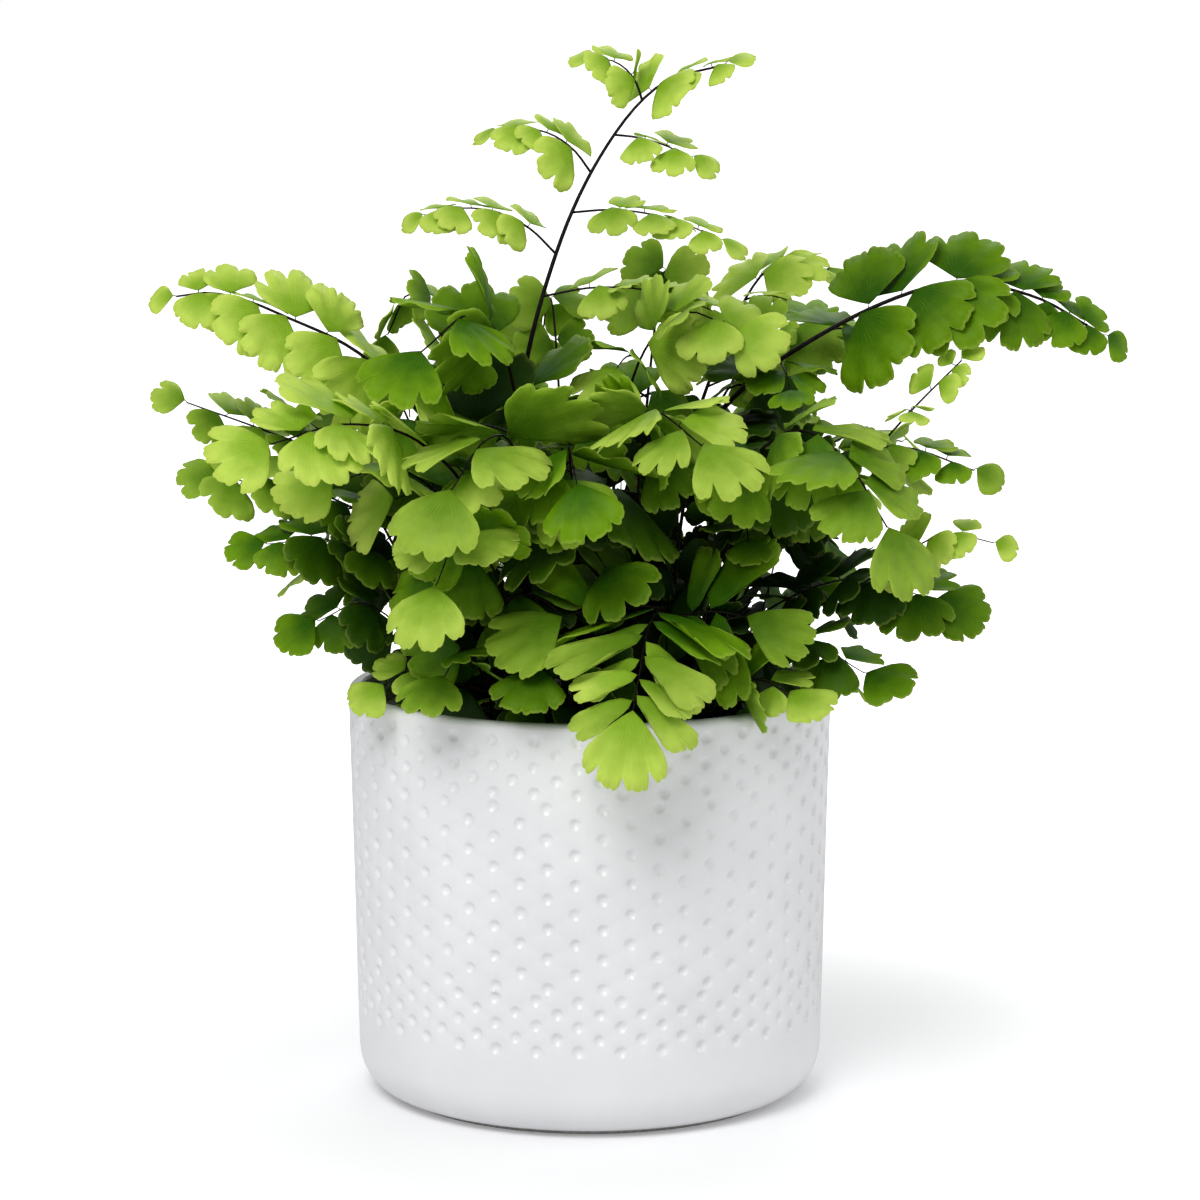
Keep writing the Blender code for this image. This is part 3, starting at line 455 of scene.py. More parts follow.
def branch_line(row, stem, distance, side, length, turn):
    """A side branch: it leaves the stem at an angle and bends over towards the droop."""
    start, tangent = stem.at(distance)
    sideways = square(compass(row.spread), tangent) * -side
    angle = radians(BRANCH_ANGLE + turn)
    first = tangent * cos(angle) + sideways * sin(angle)
    level = (Vector((first.x, first.y, 0)) + sideways * BRANCH_SPREAD).normalized()
    last = level * cos(radians(row.droop)) - UP * sin(radians(row.droop))
    knots = [start]
    for k in range(BRANCH_PIECES):
        heading = first.lerp(last, (k + 0.5) / BRANCH_PIECES).normalized()
        knots.append(knots[-1] + heading * length / BRANCH_PIECES)
    return Line(knots)


def edge_reach(leaf, x, t):
    """How far a leaflet reaches from its base, at x (-1 to 1) across its fan and t (0 to 1) outwards."""
    body = 1 - (1 - SHOULDER) * np.abs(x) ** SIDE_POWER - CORNER * np.abs(x) ** CORNER_POWER + leaf.skew * x
    cut = LOBE * (2 * ((x + 1) / 2 * leaf.lobes % 1) - 1) ** 4
    cut += SCALLOP * (2 * ((x + 1) / 2 * leaf.lobes * 3 % 1) - 1) ** 4
    for at, depth in leaf.notches:
        cut += depth * np.exp(-(((x - at) / NOTCH_WIDTH) ** 2))
    return leaf.size * t * (body - cut * t**3)


def blade_surface(leaf, x, t):
    """The points of a leaflet's middle surface: it bends down towards its sides and its tip."""
    angle = np.radians(leaf.fan) * x
    reach = edge_reach(leaf, x, t)
    along, right = reach * np.cos(angle), reach * np.sin(angle)
    bulge = max(1 - leaf.fan / WEDGE_FAN, LEAST_BULGE)
    right *= np.maximum(t, 0.05) ** -bulge
    rise = -(SAG * right**2 + TIP_DROOP * along**2) / leaf.size
    rise += RUFFLE * leaf.size * t**2 * np.sin(pi * leaf.lobes * x + leaf.phase)
    axes = np.array([leaf.along, leaf.along.cross(leaf.normal), leaf.normal])
    return np.array(leaf.base) + np.stack([along, right, rise], axis=1) @ axes


def test_blade(leaf, start=0.0):
    """(points, faces) of a coarse leaflet with room around it, without that share next to its stalk."""
    x = np.concatenate([[0.0], np.linspace(-1, 1, 5), np.linspace(-1, 1, 9)])
    t = np.concatenate([[start], np.full(5, TEST_RING), np.full(9, 1.0)])
    middle = blade_surface(leaf, x, t)
    lift = np.array(leaf.normal) * (THICKNESS / 2 + CLEARANCE)
    points = np.concatenate([middle + lift, middle - lift])
    faces = [(0, k + 1, k) for k in range(1, 5)]
    for k in range(4):
        outer = 6 + 2 * k
        faces += [(k + 1, outer + 1, outer), (k + 1, k + 2, outer + 1), (k + 2, outer + 2, outer + 1)]
    faces += [tuple(corner + len(middle) for corner in face) for face in faces]
    return [Vector(p) for p in points], faces


def test_rod(line, radii, swell):
    """(points, faces) of a rib without its leaflets, for finding out what it would touch."""
    pieces = ceil(line.length / TEST_STEP)
    points = []
    for k in range(pieces + 1):
        point, tangent = line.at(line.length * k / pieces)
        up = square(ASKEW, tangent)
        across = tangent.cross(up)
        radius = radii[0] + (radii[1] - radii[0]) * k / pieces + swell
        corners = (up, -(up + across) * 0.7, -(up - across) * 0.7)
        points += [point + corner * radius for corner in corners]
    return closed_up(points, len(corners))


def reach_of(shape):
    """(centre, radius, tree) of a shape, for finding out what it touches."""
    centre = sum(shape[0], Vector()) / len(shape[0])
    return centre, max((p - centre).length for p in shape[0]), BVHTree.FromPolygons(*shape)


class Space:
    """What has grown so far, for finding out whether a new piece would be clear of it."""

    def __init__(self):
        self.things = []

    def add(self, shape, owner, line=None):
        self.things.append((*reach_of(shape), owner, line))

    def meets(self, shape, skip):
        """True if the shape touches a thing that skip doesn't leave out."""
        centre, radius, tree = reach_of(shape)
        return any(
            tree.overlap(other)
            for middle, size, other, owner, line in self.things
            if (middle - centre).length < radius + size and not skip(owner, line)
        )


def turned(leaf, pitch, twist, scale):
    right = leaf.along.cross(leaf.normal)
    tip = Matrix.Rotation(radians(pitch), 3, right)
    roll = Matrix.Rotation(radians(twist), 3, leaf.along)
    return leaf._replace(along=tip @ leaf.along, normal=tip @ (roll @ leaf.normal), size=leaf.size * scale)


def settle(leaf, space, owner, line):
    """The leaflet turned clear of what is there already, or None if it hasn't the room."""
    free = [("shelf", None)] if owner in OVER_THE_RIM else []
    for scale in LEAF_SHRINKS:
        for pitch, twist in LEAF_TURNS:
            tried = turned(leaf, pitch, twist, scale)
            blade = test_blade(tried)
            if not space.meets(blade, lambda *other: other == (owner, line) or other in free):
                space.add(blade, owner)
                return tried
    return None


def shade(place):
    """How deep inside the clump a place is, from 0 at its outside to 1 in its middle: the share of painted
    shade there.
    """
    x, y, z = (np.array(place) - CLUMP_CENTRE) / CLUMP_SIZE
    return max(1 - (x * x + y * y + z * z), 0) ** HEART_FADE


def leaf_at(row, place, light, side, size, share, draw):
    """A leaflet as it wants to grow: side -1 or 1 is left or right of its rib, and 0 is the rib's end.

    place is the rib's point and direction there, light where blades face, and share how far along the rib it
    is: leaflets get younger and lighter towards the tip."""
    base, tangent = place
    normal = square(light, tangent)
    across = tangent.cross(normal)
    swing = radians(draw.uniform(*SWING)) * side
    along = tangent * cos(swing) + across * sin(swing)
    along = (along - UP * draw.uniform(*HANG)).normalized()
    tile = TILE_TURN * side + draw.uniform(-TILE_JITTER, TILE_JITTER)
    turn = Matrix.Rotation(radians(tile), 3, along)
    lobes = 2 + sum(size > length for length in LOBE_SIZES)
    if side and row.fan < LONG_FAN:
        lobes = 2
    notches = [(2 * k / lobes - 1, draw.uniform(*NOTCHES)) for k in range(1, lobes)]
    # Painted shade: leaflets deep inside the clump are made darker, as if older.
    age = row.age - TIP_YOUTH * share + draw.uniform(*AGE_JITTER) + shade(base) * HEART_SHADE
    fan = (row.fan if side else max(row.fan, END_FAN)) + draw.uniform(*EXTRA_FAN)
    base = base + along * draw.uniform(*STALK) + normal * draw.uniform(*BASE_RISE)
    normal = turn @ square(normal, along)
    return Leaf(base, along, normal, size, fan, SKEW * side, lobes, age, notches, draw.uniform(0, FULL_TURN))


def leaf_marks(row, line, start, sizes, draw):
    """[(distance, leaflet size)] along a rib from start, with the last one at its end."""
    marks = []
    distance = start
    while True:
        size = sizes[0] + (sizes[1] - sizes[0]) * (distance - start) / (line.length - start)
        if distance > line.length - size * min(row.crowding, END_ROOM):
            break
        marks.append((distance, size * draw.uniform(1 - SIZE_JITTER, 1 + SIZE_JITTER)))
        distance += size * row.crowding * SIDE_STEP
    return marks + [(line.length, sizes[1] * draw.uniform(*END_SIZES))]


def leafy(row, line, rib, start, sizes, space, draw):
    """The leaflets of a rib, alternate ones first and then the smaller ones opposite them."""
    marks = leaf_marks(row, line, start + FIRST_LEAF, sizes, draw)
    light = (UP + compass(row.face) * row.tilt).normalized()
    side = draw.choice((-1, 1))
    end = marks.pop()
    alternate, opposite = [], []
    for distance, size in marks:
        share = distance / line.length
        alternate.append(leaf_at(row, line.at(distance), light, side, size, share, draw))
        beyond = line.at(min(distance + size * row.crowding * OPPOSITE_STEP, line.length))
        opposite.append(leaf_at(row, beyond, light, -side, size * OPPOSITE_SIZE, share, draw))
        side = -side
    alternate.append(leaf_at(row, line.at(end[0]), light, 0, end[1], 1.0, draw))
    found = [settle(leaf, space, row.name, rib) for leaf in alternate + opposite]
    return [(leaf, line) for leaf in found if leaf]


def branch_marks(row, stem):
    """The distances along a stem where its branches leave it."""
    start, end = stem.length * row.bare, stem.length - row.tip
    count = max(int((end - start) / row.gap) + 1, 1)
    return [start + row.gap * k for k in range(count)]


def grow_branches(row, stem, space):
    """The frond's side branches, each turned or shortened until it is clear of the other fronds."""
    draw = seeded(f"{row.name} branches")
    side = draw.choice((-1, 1))
    marks = branch_marks(row, stem)
    branches = []
    for k, distance in enumerate(marks):
        share = k / max(len(marks) - 1, 1)
        length = row.span[0] + (row.span[1] - row.span[0]) * share
        length *= draw.uniform(1 - BRANCH_JITTER, 1 + BRANCH_JITTER)
        for turn, keep in BRANCH_TRIES:
            branch = branch_line(row, stem, distance, side, length * keep, turn)
            rod = test_rod(branch, BRANCH_RADII, 2 * CLEARANCE)
            if not space.meets(rod, lambda other, _: other in (row.name, "shelf")):
                branches.append(branch)
                space.add(rod, row.name, len(branches))
                break
        side = -side
    return branches


def undergrowth():
    """Short fronds inside the clump, too many and too hidden to be nodes: they fill it with leaflets darkened
    with painted shade.
    """
    rows = []
    for k in range(UNDERGROWTH):
        draw = seeded(f"undergrowth {k}")
        share = (k + 0.5) / UNDERGROWTH
        foot = compass(k * GOLDEN_ANGLE) * (UNDERGROWTH_RADIUS * sqrt(share))
        lean = foot * draw.uniform(*UNDERGROWTH_LEAN) + compass(draw.uniform(0, 360)) * UNDERGROWTH_SCATTER
        top = UP * draw.uniform(*UNDERGROWTH_TOP)
        middle = foot + lean * UNDERGROWTH_BEND[0] + top * UNDERGROWTH_BEND[1]
        knots = [tuple(foot.xy), tuple(middle), tuple(foot + lean + top)]
        rows.append(frond(f"undergrowth_{k}", *knots, **UNDERGROWTH_HABIT))
    return rows


def shelf():
    """(points, faces) of a flat ring a little above the rim, which most fronds' leaflets stay above."""
    profile = [(radius, POT_HEIGHT + SHELF_GAP) for radius in SHELF_RADII]
    return closed_up(rings(profile, SHELF_SIDES), SHELF_SIDES)


def grow(rows, hidden, walls):
    """{row: (stem, branches, leaflets)}, with every leaflet clear of the rest and of the walls.

    The hidden rows grow last, in the room that is left."""
    space = Space()
    for wall in walls:
        space.add(wall, "wall")
    space.add(shelf(), "shelf")
    ribs = {row: [stem_line(row)] for row in rows + hidden}
    for row in rows:
        space.add(test_rod(ribs[row][0], stem_radii(ribs[row][0]), 0), row.name, 0)
    for row in rows:
        ribs[row] += grow_branches(row, ribs[row][0], space)
    grown = {}
    for row in sorted(rows, key=lambda row: row.knots[-1][1]) + hidden:
        if row in hidden:
            space.add(test_rod(ribs[row][0], BRANCH_RADII, 0), row.name, 0)
            ribs[row] += grow_branches(row, ribs[row][0], space)
        stem, *branches = ribs[row]
        draw = seeded(f"{row.name} leaves")
        start = max(stem.length - row.tip, branch_marks(row, stem)[-1] + LAST_BRANCH_GAP)
        leaves = leafy(row, stem, 0, start, row.leaf, space, draw)
        for number, branch in enumerate(branches, 1):
            share = number / (len(branches) + 1)
            sizes = (row.leaf[0] + (row.leaf[1] - row.leaf[0]) * share * BRANCH_LEAF_SHARE, row.leaf[1])
            leaves += leafy(row, branch, number, branch.length * BARE_BRANCH, sizes, space, draw)
        grown[row] = (stem, branches, leaves)
    return grown


# ---- meshes


def placed(name, data):
    """A new object of the scene."""
    obj = bpy.data.objects.new(name, data)
    bpy.context.scene.collection.objects.link(obj)
    return obj


def mesh_piece(name, materials, points, triangles, flat=None, ages_and_shade=None, veins=None, slots=None):
    """A mesh of triangles from arrays in millimetres. flat says which faces aren't shaded smooth."""
    mesh = bpy.data.meshes.new(name)
    triangles = np.asarray(triangles, np.int32)
    mesh.from_pydata(np.asarray(points, np.float32) * MM, [], triangles)
    smooth = np.ones(len(triangles), bool) if flat is None else ~flat
    mesh.polygons.foreach_set("use_smooth", smooth)
    if slots is not None:
        mesh.polygons.foreach_set("material_index", np.asarray(slots, np.int32))
    if ages_and_shade is not None:
        mesh.attributes.new("age", "FLOAT", "POINT").data.foreach_set("value", np.asarray(ages_and_shade, np.float32))
    if veins is not None:
        layer = mesh.uv_layers.new(name="veins")
        layer.data.foreach_set("uv", np.asarray(veins, np.float32)[triangles.ravel()].ravel())
    mesh.update()
    for material in materials:
        mesh.materials.append(material)
    obj = placed(name, mesh)
    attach(obj, "root")
    return obj


@functools.cache
def fan_grid(pieces):
    """(x, t, faces, flat) of a leaflet's closed shell: its top, its underside and the band round them."""
    arcs = ((1.0, pieces), (0.8, pieces // 2), (0.5, pieces // 4), (0.2, pieces // 4))
    places, starts = [], []
    for t, count in arcs:
        starts.append(len(places))
        places += [(2 * k / count - 1, t) for k in range(count + 1)]
    apex = len(places)
    places.append((0.0, 0.0))
    top = []
    for (_, count), (_, inside), a, b in zip(arcs, arcs[1:], starts, starts[1:]):
        for k in range(inside):
            if count == inside:
                top += [(a + k + 1, a + k, b + k + 1), (b + k + 1, a + k, b + k)]
            else:
                outer = a + 2 * k
                top += [(outer + 1, outer, b + k), (outer + 1, b + k, b + k + 1)]
                top.append((outer + 2, outer + 1, b + k + 1))
    top += [(starts[-1] + k + 1, starts[-1] + k, apex) for k in range(arcs[-1][1])]
    edges = {(face[k], face[(k + 1) % 3]) for face in top for k in range(3)}
    rim = [(a, b) for a, b in sorted(edges) if (b, a) not in edges]
    under = len(places)
    faces = top + [(c + under, b + under, a + under) for a, b, c in top]
    edge = [face for a, b in rim for face in ((b, a, a + under), (b, a + under, b + under))]
    x, t = np.array(places).T
    return x, t, np.array(faces + edge), np.array([False] * len(faces) + [True] * len(edge))


def blades(leaves):
    """(points, faces, flat, age, veins) of closed thin blades for a list of leaflets, where age carries the
    painted shade of the clump's heart as well.
    """
    points, faces, flat, age, veins = [], [], [], [], []
    count = 0
    for leaf in leaves:
        x, t, shell, band = fan_grid(EDGE_PIECES * leaf.lobes)
        middle = blade_surface(leaf, x, t)
        lift = np.array(leaf.normal) * (THICKNESS / 2) * np.where(t > 0, 1, BASE_THINNING)[:, None]
        points += [middle + lift, middle - lift]
        faces.append(shell + count)
        flat.append(band)
        age.append(np.full(2 * len(x), leaf.age))
        veins += [np.stack([(x + 1) / 2, t], axis=1)] * 2
        count += 2 * len(x)
    return tuple(np.concatenate(part) for part in (points, faces, flat, age, veins))


def tube(points, radii, sides):
    """(points, faces) of a closed round tube through points, with a radius at each."""
    count = len(points)
    tangents = [(points[min(k + 1, count - 1)] - points[max(k - 1, 0)]).normalized() for k in range(count)]
    up = square(ASKEW, tangents[0])
    skin = []
    for point, tangent, radius in zip(points, tangents, radii):
        up = square(up, tangent)
        across = tangent.cross(up)
        for s in range(sides):
            angle = 2 * pi * s / sides
            skin.append(point + (up * cos(angle) + across * sin(angle)) * radius)
    return closed_up(skin, sides, points[0], points[-1])


def rib_tube(line, radii, step, sides):
    pieces = max(ceil(line.length / step), 3)
    points = [line.at(line.length * k / pieces)[0] for k in range(pieces + 1)]
    return tube(points, [radii[0] + (radii[1] - radii[0]) * k / pieces for k in range(pieces + 1)], sides)


def stalk_tube(leaf, line):
    """The short stalk between a leaflet and the nearest place on its rib."""
    near = min(range(len(line.points)), key=lambda k: (line.points[k] - leaf.base).length)
    root = line.points[near]
    bend = leaf.base - leaf.along * ((leaf.base - root).length * 0.4)
    points = interpolate_bezier(root, root.lerp(bend, 0.5), bend, leaf.base + leaf.along * 0.5, 4)
    return tube(points, [STALK_RADIUS * share for share in STALK_TAPER], STALK_SIDES)


def make_frond(name, grown, finishes, node=None):
    """The leaflets and the stems of one or more fronds. They replace a node of the solids if one is given."""
    leaves = [leaf for _, _, found in grown for leaf, _ in found]
    green = mesh_piece(f"{name}_leaflets", [finishes["leaf"]], *blades(leaves))
    shapes = []
    for stem, branches, found in grown:
        radii = stem_radii(stem) if node else BRANCH_RADII
        shapes.append(rib_tube(stem, radii, *STEM_TUBE))
        shapes += [rib_tube(branch, BRANCH_RADII, *BRANCH_TUBE) for branch in branches]
        shapes += [stalk_tube(leaf, line) for leaf, line in found]
    wire = mesh_piece(f"{name}_stems", [finishes["stem"]], *joined(shapes))
    if node:
        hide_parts(node)
        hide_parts(node)


# ---- pot


def wall_radius(height):
    """Outer radius of the pot's plain wall at a height."""
    share = (height - CORNER_HEIGHT) / (POT_HEIGHT - LIP - CORNER_HEIGHT)
    return BODY_RADIUS + (RIM_RADIUS - BODY_RADIUS) * share


def arc(centre, radii, first, last, steps):
    """Points (radius, height) on an elliptic arc, its ends included."""
    angles = [radians(first + (last - first) * k / steps) for k in range(steps + 1)]
    return [(centre[0] + radii[0] * cos(a), centre[1] + radii[1] * sin(a)) for a in angles]


def dimple_rows():
    """[(height, dimples in the row, share of a step that the row is shifted by)] from the lowest row up."""
    rows = []
    height = DIMPLE_START
    for count, around, step in DIMPLE_ZONES:
        for _ in range(count):
            rows.append((height, around, 0.25 if len(rows) % 2 else 0.75))
            height += step
    return rows


def dimpled_wall():
    """(points, faces) of a quarter of the dimpled wall, laid flat and then bent round.

    A dimple is a few rings of points around its middle. The plain wall between them has no points."""
    draw = seeded("dimples")
    rows = dimple_rows()
    low, high = DIMPLE_START - DIMPLE_MARGIN, rows[-1][0] + DIMPLE_MARGIN
    arc_length = pi / 2 * BODY_RADIUS
    flat = []
    quarter = POT_SIDES // 4
    heights = [low + (high - low) * k / quarter for k in range(quarter + 1)]
    for k in range(quarter + 1):
        flat += [(arc_length * k / quarter, low), (arc_length * k / quarter, high)]
    for height in heights[1:-1]:
        flat += [(0.0, height), (arc_length, height)]
    depth = [0.0] * len(flat)
    for height, around, shift in rows:
        for k in range(around // 4):
            x = arc_length * (k + shift) * 4 / around + draw.uniform(-DIMPLE_SHIFTS[0], DIMPLE_SHIFTS[0])
            z = height + draw.uniform(-DIMPLE_SHIFTS[1], DIMPLE_SHIFTS[1])
            size = DIMPLE_RADIUS * draw.uniform(*DIMPLE_SIZES)
            deep = DIMPLE_DEPTH * draw.uniform(*DIMPLE_DEPTHS)
            flat.append((x, z))
            depth.append(deep)
            for number, share in enumerate(DIMPLE_RINGS):
                for s in range(DIMPLE_SIDES):
                    angle = 2 * pi * (s + 0.5 * (number % 2)) / DIMPLE_SIDES
                    flat.append((x + size * share * cos(angle), z + size * share * sin(angle)))
                    depth.append(deep * max(1 - share**2, 0) + DIMPLE_FLARE * (DIMPLE_RINGS[-1] - share))
    places, _, faces, sources, *_ = delaunay_2d_cdt([Vector(p) for p in flat], [], [], 0, 1e-5)
    points = []
    for place, source in zip(places, sources):
        radius = wall_radius(place.y) - depth[source[0]]
        points.append(compass(degrees(place.x / BODY_RADIUS)) * radius + UP * place.y)
    return points, [tuple(face) for face in faces], low, high


def pot_shape():
    """(points, faces, slots) of the pot, where slot 1 is the bare foot.

    Its three bands share their seam points: below the dimples, the dimpled wall, and above it."""
    wall, faces, low, high = dimpled_wall()
    corner = BODY_RADIUS - FOOT_RADIUS - FOOT_INSET
    below = [(FOOT_RADIUS, 0.0), (FOOT_RADIUS, FOOT_HEIGHT * 0.5), (FOOT_RADIUS, FOOT_HEIGHT)]
    below += arc((BODY_RADIUS - corner, CORNER_HEIGHT), (corner, CORNER_HEIGHT - FOOT_HEIGHT), -90, 0, 14)
    below.append((wall_radius(low), low))
    lip = POT_HEIGHT - LIP
    above = [(wall_radius(high), high), (wall_radius((high + lip) / 2), (high + lip) / 2)]
    above += arc((RIM_RADIUS - LIP, lip), (LIP, LIP), 0, 90, 7)
    above += arc((RIM_RADIUS - WALL + LIP * 0.6, lip), (LIP * 0.6, LIP), 90, 180, 6)
    inner = wall_radius(CORNER_HEIGHT + FLOOR) - WALL
    above += [(inner, CORNER_HEIGHT + FLOOR), (inner - CORNER_HEIGHT * 0.5, FLOOR)]
    shapes = [closed_up(rings(below, POT_SIDES), POT_SIDES, first=UP * below[0][1])]
    shapes += [([Matrix.Rotation(pi / 2 * k, 3, "Z") @ p for p in wall], faces) for k in range(4)]
    shapes.append(closed_up(rings(above, POT_SIDES), POT_SIDES, last=UP * above[-1][1]))
    points, faces = joined(shapes)
    return points, faces, (points[faces][:, :, 2].max(axis=1) <= FOOT_HEIGHT + 0.01).astype(int)


def weld(obj):
    """Joins the points that the pot's bands have in common."""
    shape = bmesh.new()
    shape.from_mesh(obj.data)
    bmesh.ops.remove_doubles(shape, verts=shape.verts, dist=0.02 * MM)
    shape.to_mesh(obj.data)
    shape.free()


def make_pot(finishes):
    points, faces, slots = pot_shape()
    pot = mesh_piece("pot_glazed", [finishes["glaze"], finishes["foot"]], points, faces, slots=slots)
    weld(pot)
    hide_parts("pot")


# ---- soil


def soil_shape():
    """(points, faces) of the soil: its floor and side, and its rough surface from the edge to the middle."""
    low = wall_radius(CORNER_HEIGHT + FOOT_HEIGHT) - WALL - SEAT - 0.5
    floor = [(low - CORNER_HEIGHT * 0.5, FLOOR + SEAT), (low, CORNER_HEIGHT + FLOOR)]
    points = rings(floor, SOIL_SIDES)
    edge = wall_radius(SOIL_EDGE) - WALL - SEAT
    for radius in [edge] + [SOIL_STEP * k for k in range(int(edge / SOIL_STEP), 0, -1)]:
        fade = min(1.0, (edge - radius) / SOIL_FADE[0] + SOIL_FADE[1])
        for place in rings([(radius, 0)], SOIL_SIDES):
            rough = noise.fractal(place * SOIL_LUMPS[0], 1.0, 2.0, 4) * SOIL_LUMPS[1]
            fine = noise.noise((place + UP * NOISE_SHIFT) * SOIL_GRAIN[0]) * SOIL_GRAIN[1]
            points.append(place + UP * (soil_height(place.x, place.y) + (rough + fine) * fade))
    return closed_up(points, SOIL_SIDES, first=UP * (FLOOR + SEAT), last=UP * soil_height(0, 0))


def crumb(draw, place, size):
    """(points, faces) of a small lump of bark or peat: a dented ball of a few faces."""
    ball = bmesh.new()
    bmesh.ops.create_icosphere(ball, subdivisions=1, radius=1.0)
    angle = draw.uniform(0, FULL_TURN)
    turn = Matrix.Rotation(angle, 3, Vector((draw.random(), draw.random(), 1)).normalized())
    stretch = Vector([draw.uniform(*limits) for limits in CRUMB_STRETCH])
    points = [place + turn @ (v.co * stretch * (size * draw.uniform(0.8, 1.2))) for v in ball.verts]
    faces = [tuple(v.index for v in face.verts) for face in ball.faces]
    ball.free()
    return points, faces


def make_soil(finishes):
    soil = mesh_piece("soil_surface", [finishes["soil"]], *soil_shape())
    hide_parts("soil")
    draw = seeded("crumbs")
    lumps = []
    for _ in range(CRUMBS):
        place = compass(draw.uniform(0, 360)) * (sqrt(draw.random()) * (BODY_RADIUS - WALL - 3))
        place.z = soil_height(place.x, place.y) + draw.uniform(-0.2, 0.7)
        lumps.append(crumb(draw, place, draw.uniform(*CRUMB_SIZES)))
    points, faces = joined(lumps)
    bits = mesh_piece("soil_bits", [finishes["bits"]], points, faces, flat=np.ones(len(faces), bool))


# ---- materials


class Nodes:
    """Short calls for building the nodes of a material, or of the world."""

    def __init__(self, owner, shader="Principled BSDF", output="Material Output"):
        owner.use_nodes = True
        self.tree = owner.node_tree
        self.shader = self.tree.nodes[shader]
        self.output = self.tree.nodes[output]

    @functools.cached_property
    def place(self):
        return self.add("TexCoord", output="Object")

    def add(self, kind, inputs=(), output=0, **settings):
        """An output of a new node, whose inputs are set from {name or number: value or socket}."""
        node = self.tree.nodes.new("ShaderNode" + kind)
        for key, value in settings.items():
            setattr(node, key, value)
        self.fill(node, dict(inputs))
        return node.outputs[output]

    def fill(self, node, inputs):
        for key, value in inputs.items():
            if isinstance(value, bpy.types.NodeSocket):
                self.tree.links.new(value, node.inputs[key])
            else:
                node.inputs[key].default_value = value

    def math(self, operation, *values):
        return self.add("Math", enumerate(values), operation=operation)

    def mix(self, share, a, b):
        return self.add("Mix", {0: share, 6: a, 7: b}, 2, data_type="RGBA")

    def ramp(self, value, low, high, first=0.0, last=1.0):
        """value taken from low..high to first..last, smoothly, and held outside."""
        inputs = {0: value, 1: low, 2: high, 3: first, 4: last}
        return self.add("MapRange", inputs, interpolation_type="SMOOTHSTEP")

    def noise(self, scale, detail):
        return self.add("TexNoise", {"Scale": scale, "Detail": detail, "Vector": self.place})

    def bump(self, height, distance, strength):
        return self.add("Bump", {"Height": height, "Distance": distance, "Strength": strength})

    def surface(self, **inputs):
        """Sets the shader's inputs, which are named with _ for a space."""
        self.fill(self.shader, {key.replace("_", " "): value for key, value in inputs.items()})


def finish(name, look, *colours):
    """A material with the nodes that look adds to it."""
    material = bpy.data.materials.new(name)
    look(Nodes(material), *colours)
    return material


def vein_lines(nodes, across, count, width):
    """1 along each of the veins, and 0 between them."""
    wave = nodes.math("PINGPONG", nodes.math("MULTIPLY", across, count), 0.5)
    return nodes.math("SUBTRACT", 1.0, nodes.ramp(wave, 0.0, width))


def leaf_look(nodes):
    """Fern green that yellows towards the leaflet's edge, with fine veins that fan out from its base, and
    painted shade that turns the leaflets deep in the clump near black.
    """
    # How old each leaflet is, with the painted shade of the clump's heart added.
    age = nodes.add("Attribute", output="Fac", attribute_name="age")
    across = nodes.add("SeparateXYZ", {0: nodes.add("UVMap", uv_map="veins")})
    out = across.node.outputs["Y"]
    blotch = nodes.noise(260.0, 3.0)
    grown, old, deep = [nodes.add("MapRange", {0: age, 1: low, 2: high}) for low, high in AGE_AND_SHADE_STEPS]
    base = nodes.mix(old, nodes.mix(grown, YOUNG_LEAF, GROWN_LEAF), OLD_LEAF)
    edge = nodes.mix(old, nodes.mix(grown, YOUNG_EDGE, GROWN_EDGE), OLD_EDGE)
    uneven = nodes.math("ADD", out, nodes.ramp(blotch, 0.3, 0.7, -0.07, 0.07))
    colour = nodes.mix(nodes.ramp(uneven, 0.1, 1.1), base, edge)
    width = nodes.math("DIVIDE", 0.045, nodes.math("MAXIMUM", out, 0.12))
    near = vein_lines(nodes, across, VEINS, width)
    far = vein_lines(nodes, across, VEINS * 2, nodes.math("MULTIPLY", width, 2.0))
    vein = nodes.math("MAXIMUM", near, nodes.math("MULTIPLY", far, nodes.ramp(out, 0.35, 0.6)))
    colour = nodes.mix(nodes.math("MULTIPLY", vein, 0.3), colour, edge)
    pale = nodes.mix(0.4, edge, YOUNG_EDGE)
    colour = nodes.mix(nodes.ramp(out, 0.93, 1.0, 0.0, 0.6), colour, pale)
    relief = nodes.math("ADD", vein, nodes.math("MULTIPLY", blotch, 0.8))
    bump = nodes.bump(relief, 0.00008, 0.5)
    # Painted shade: the leaflets deep inside the clump turn near black.
    colour = nodes.mix(deep, colour, PAINTED_SHADE_LEAF)
    nodes.surface(Base_Color=colour, Roughness=0.46, Normal=bump, Specular_IOR_Level=SPECULAR)
    through = nodes.add("BsdfTranslucent", {"Color": colour, "Normal": bump})
    both = nodes.add("MixShader", {0: 0.36, 1: nodes.shader.outputs[0], 2: through})
    nodes.fill(nodes.output, {"Surface": both})


def stem_look(nodes):
    """Black wiry stems: polished, with a brown tinge and faint ridges along them."""
    streak = nodes.noise(900.0, 3.0)
    colour = nodes.mix(nodes.ramp(streak, 0.4, 0.75), (0.003, 0.002, 0.002, 1), (0.014, 0.007, 0.004, 1))
    roughness = nodes.ramp(streak, 0.3, 0.7, 0.38, 0.55)
    bump = nodes.bump(streak, 0.00006, 0.4)
    nodes.surface(Base_Color=colour, Roughness=roughness, Normal=bump, Specular_IOR_Level=SPECULAR)


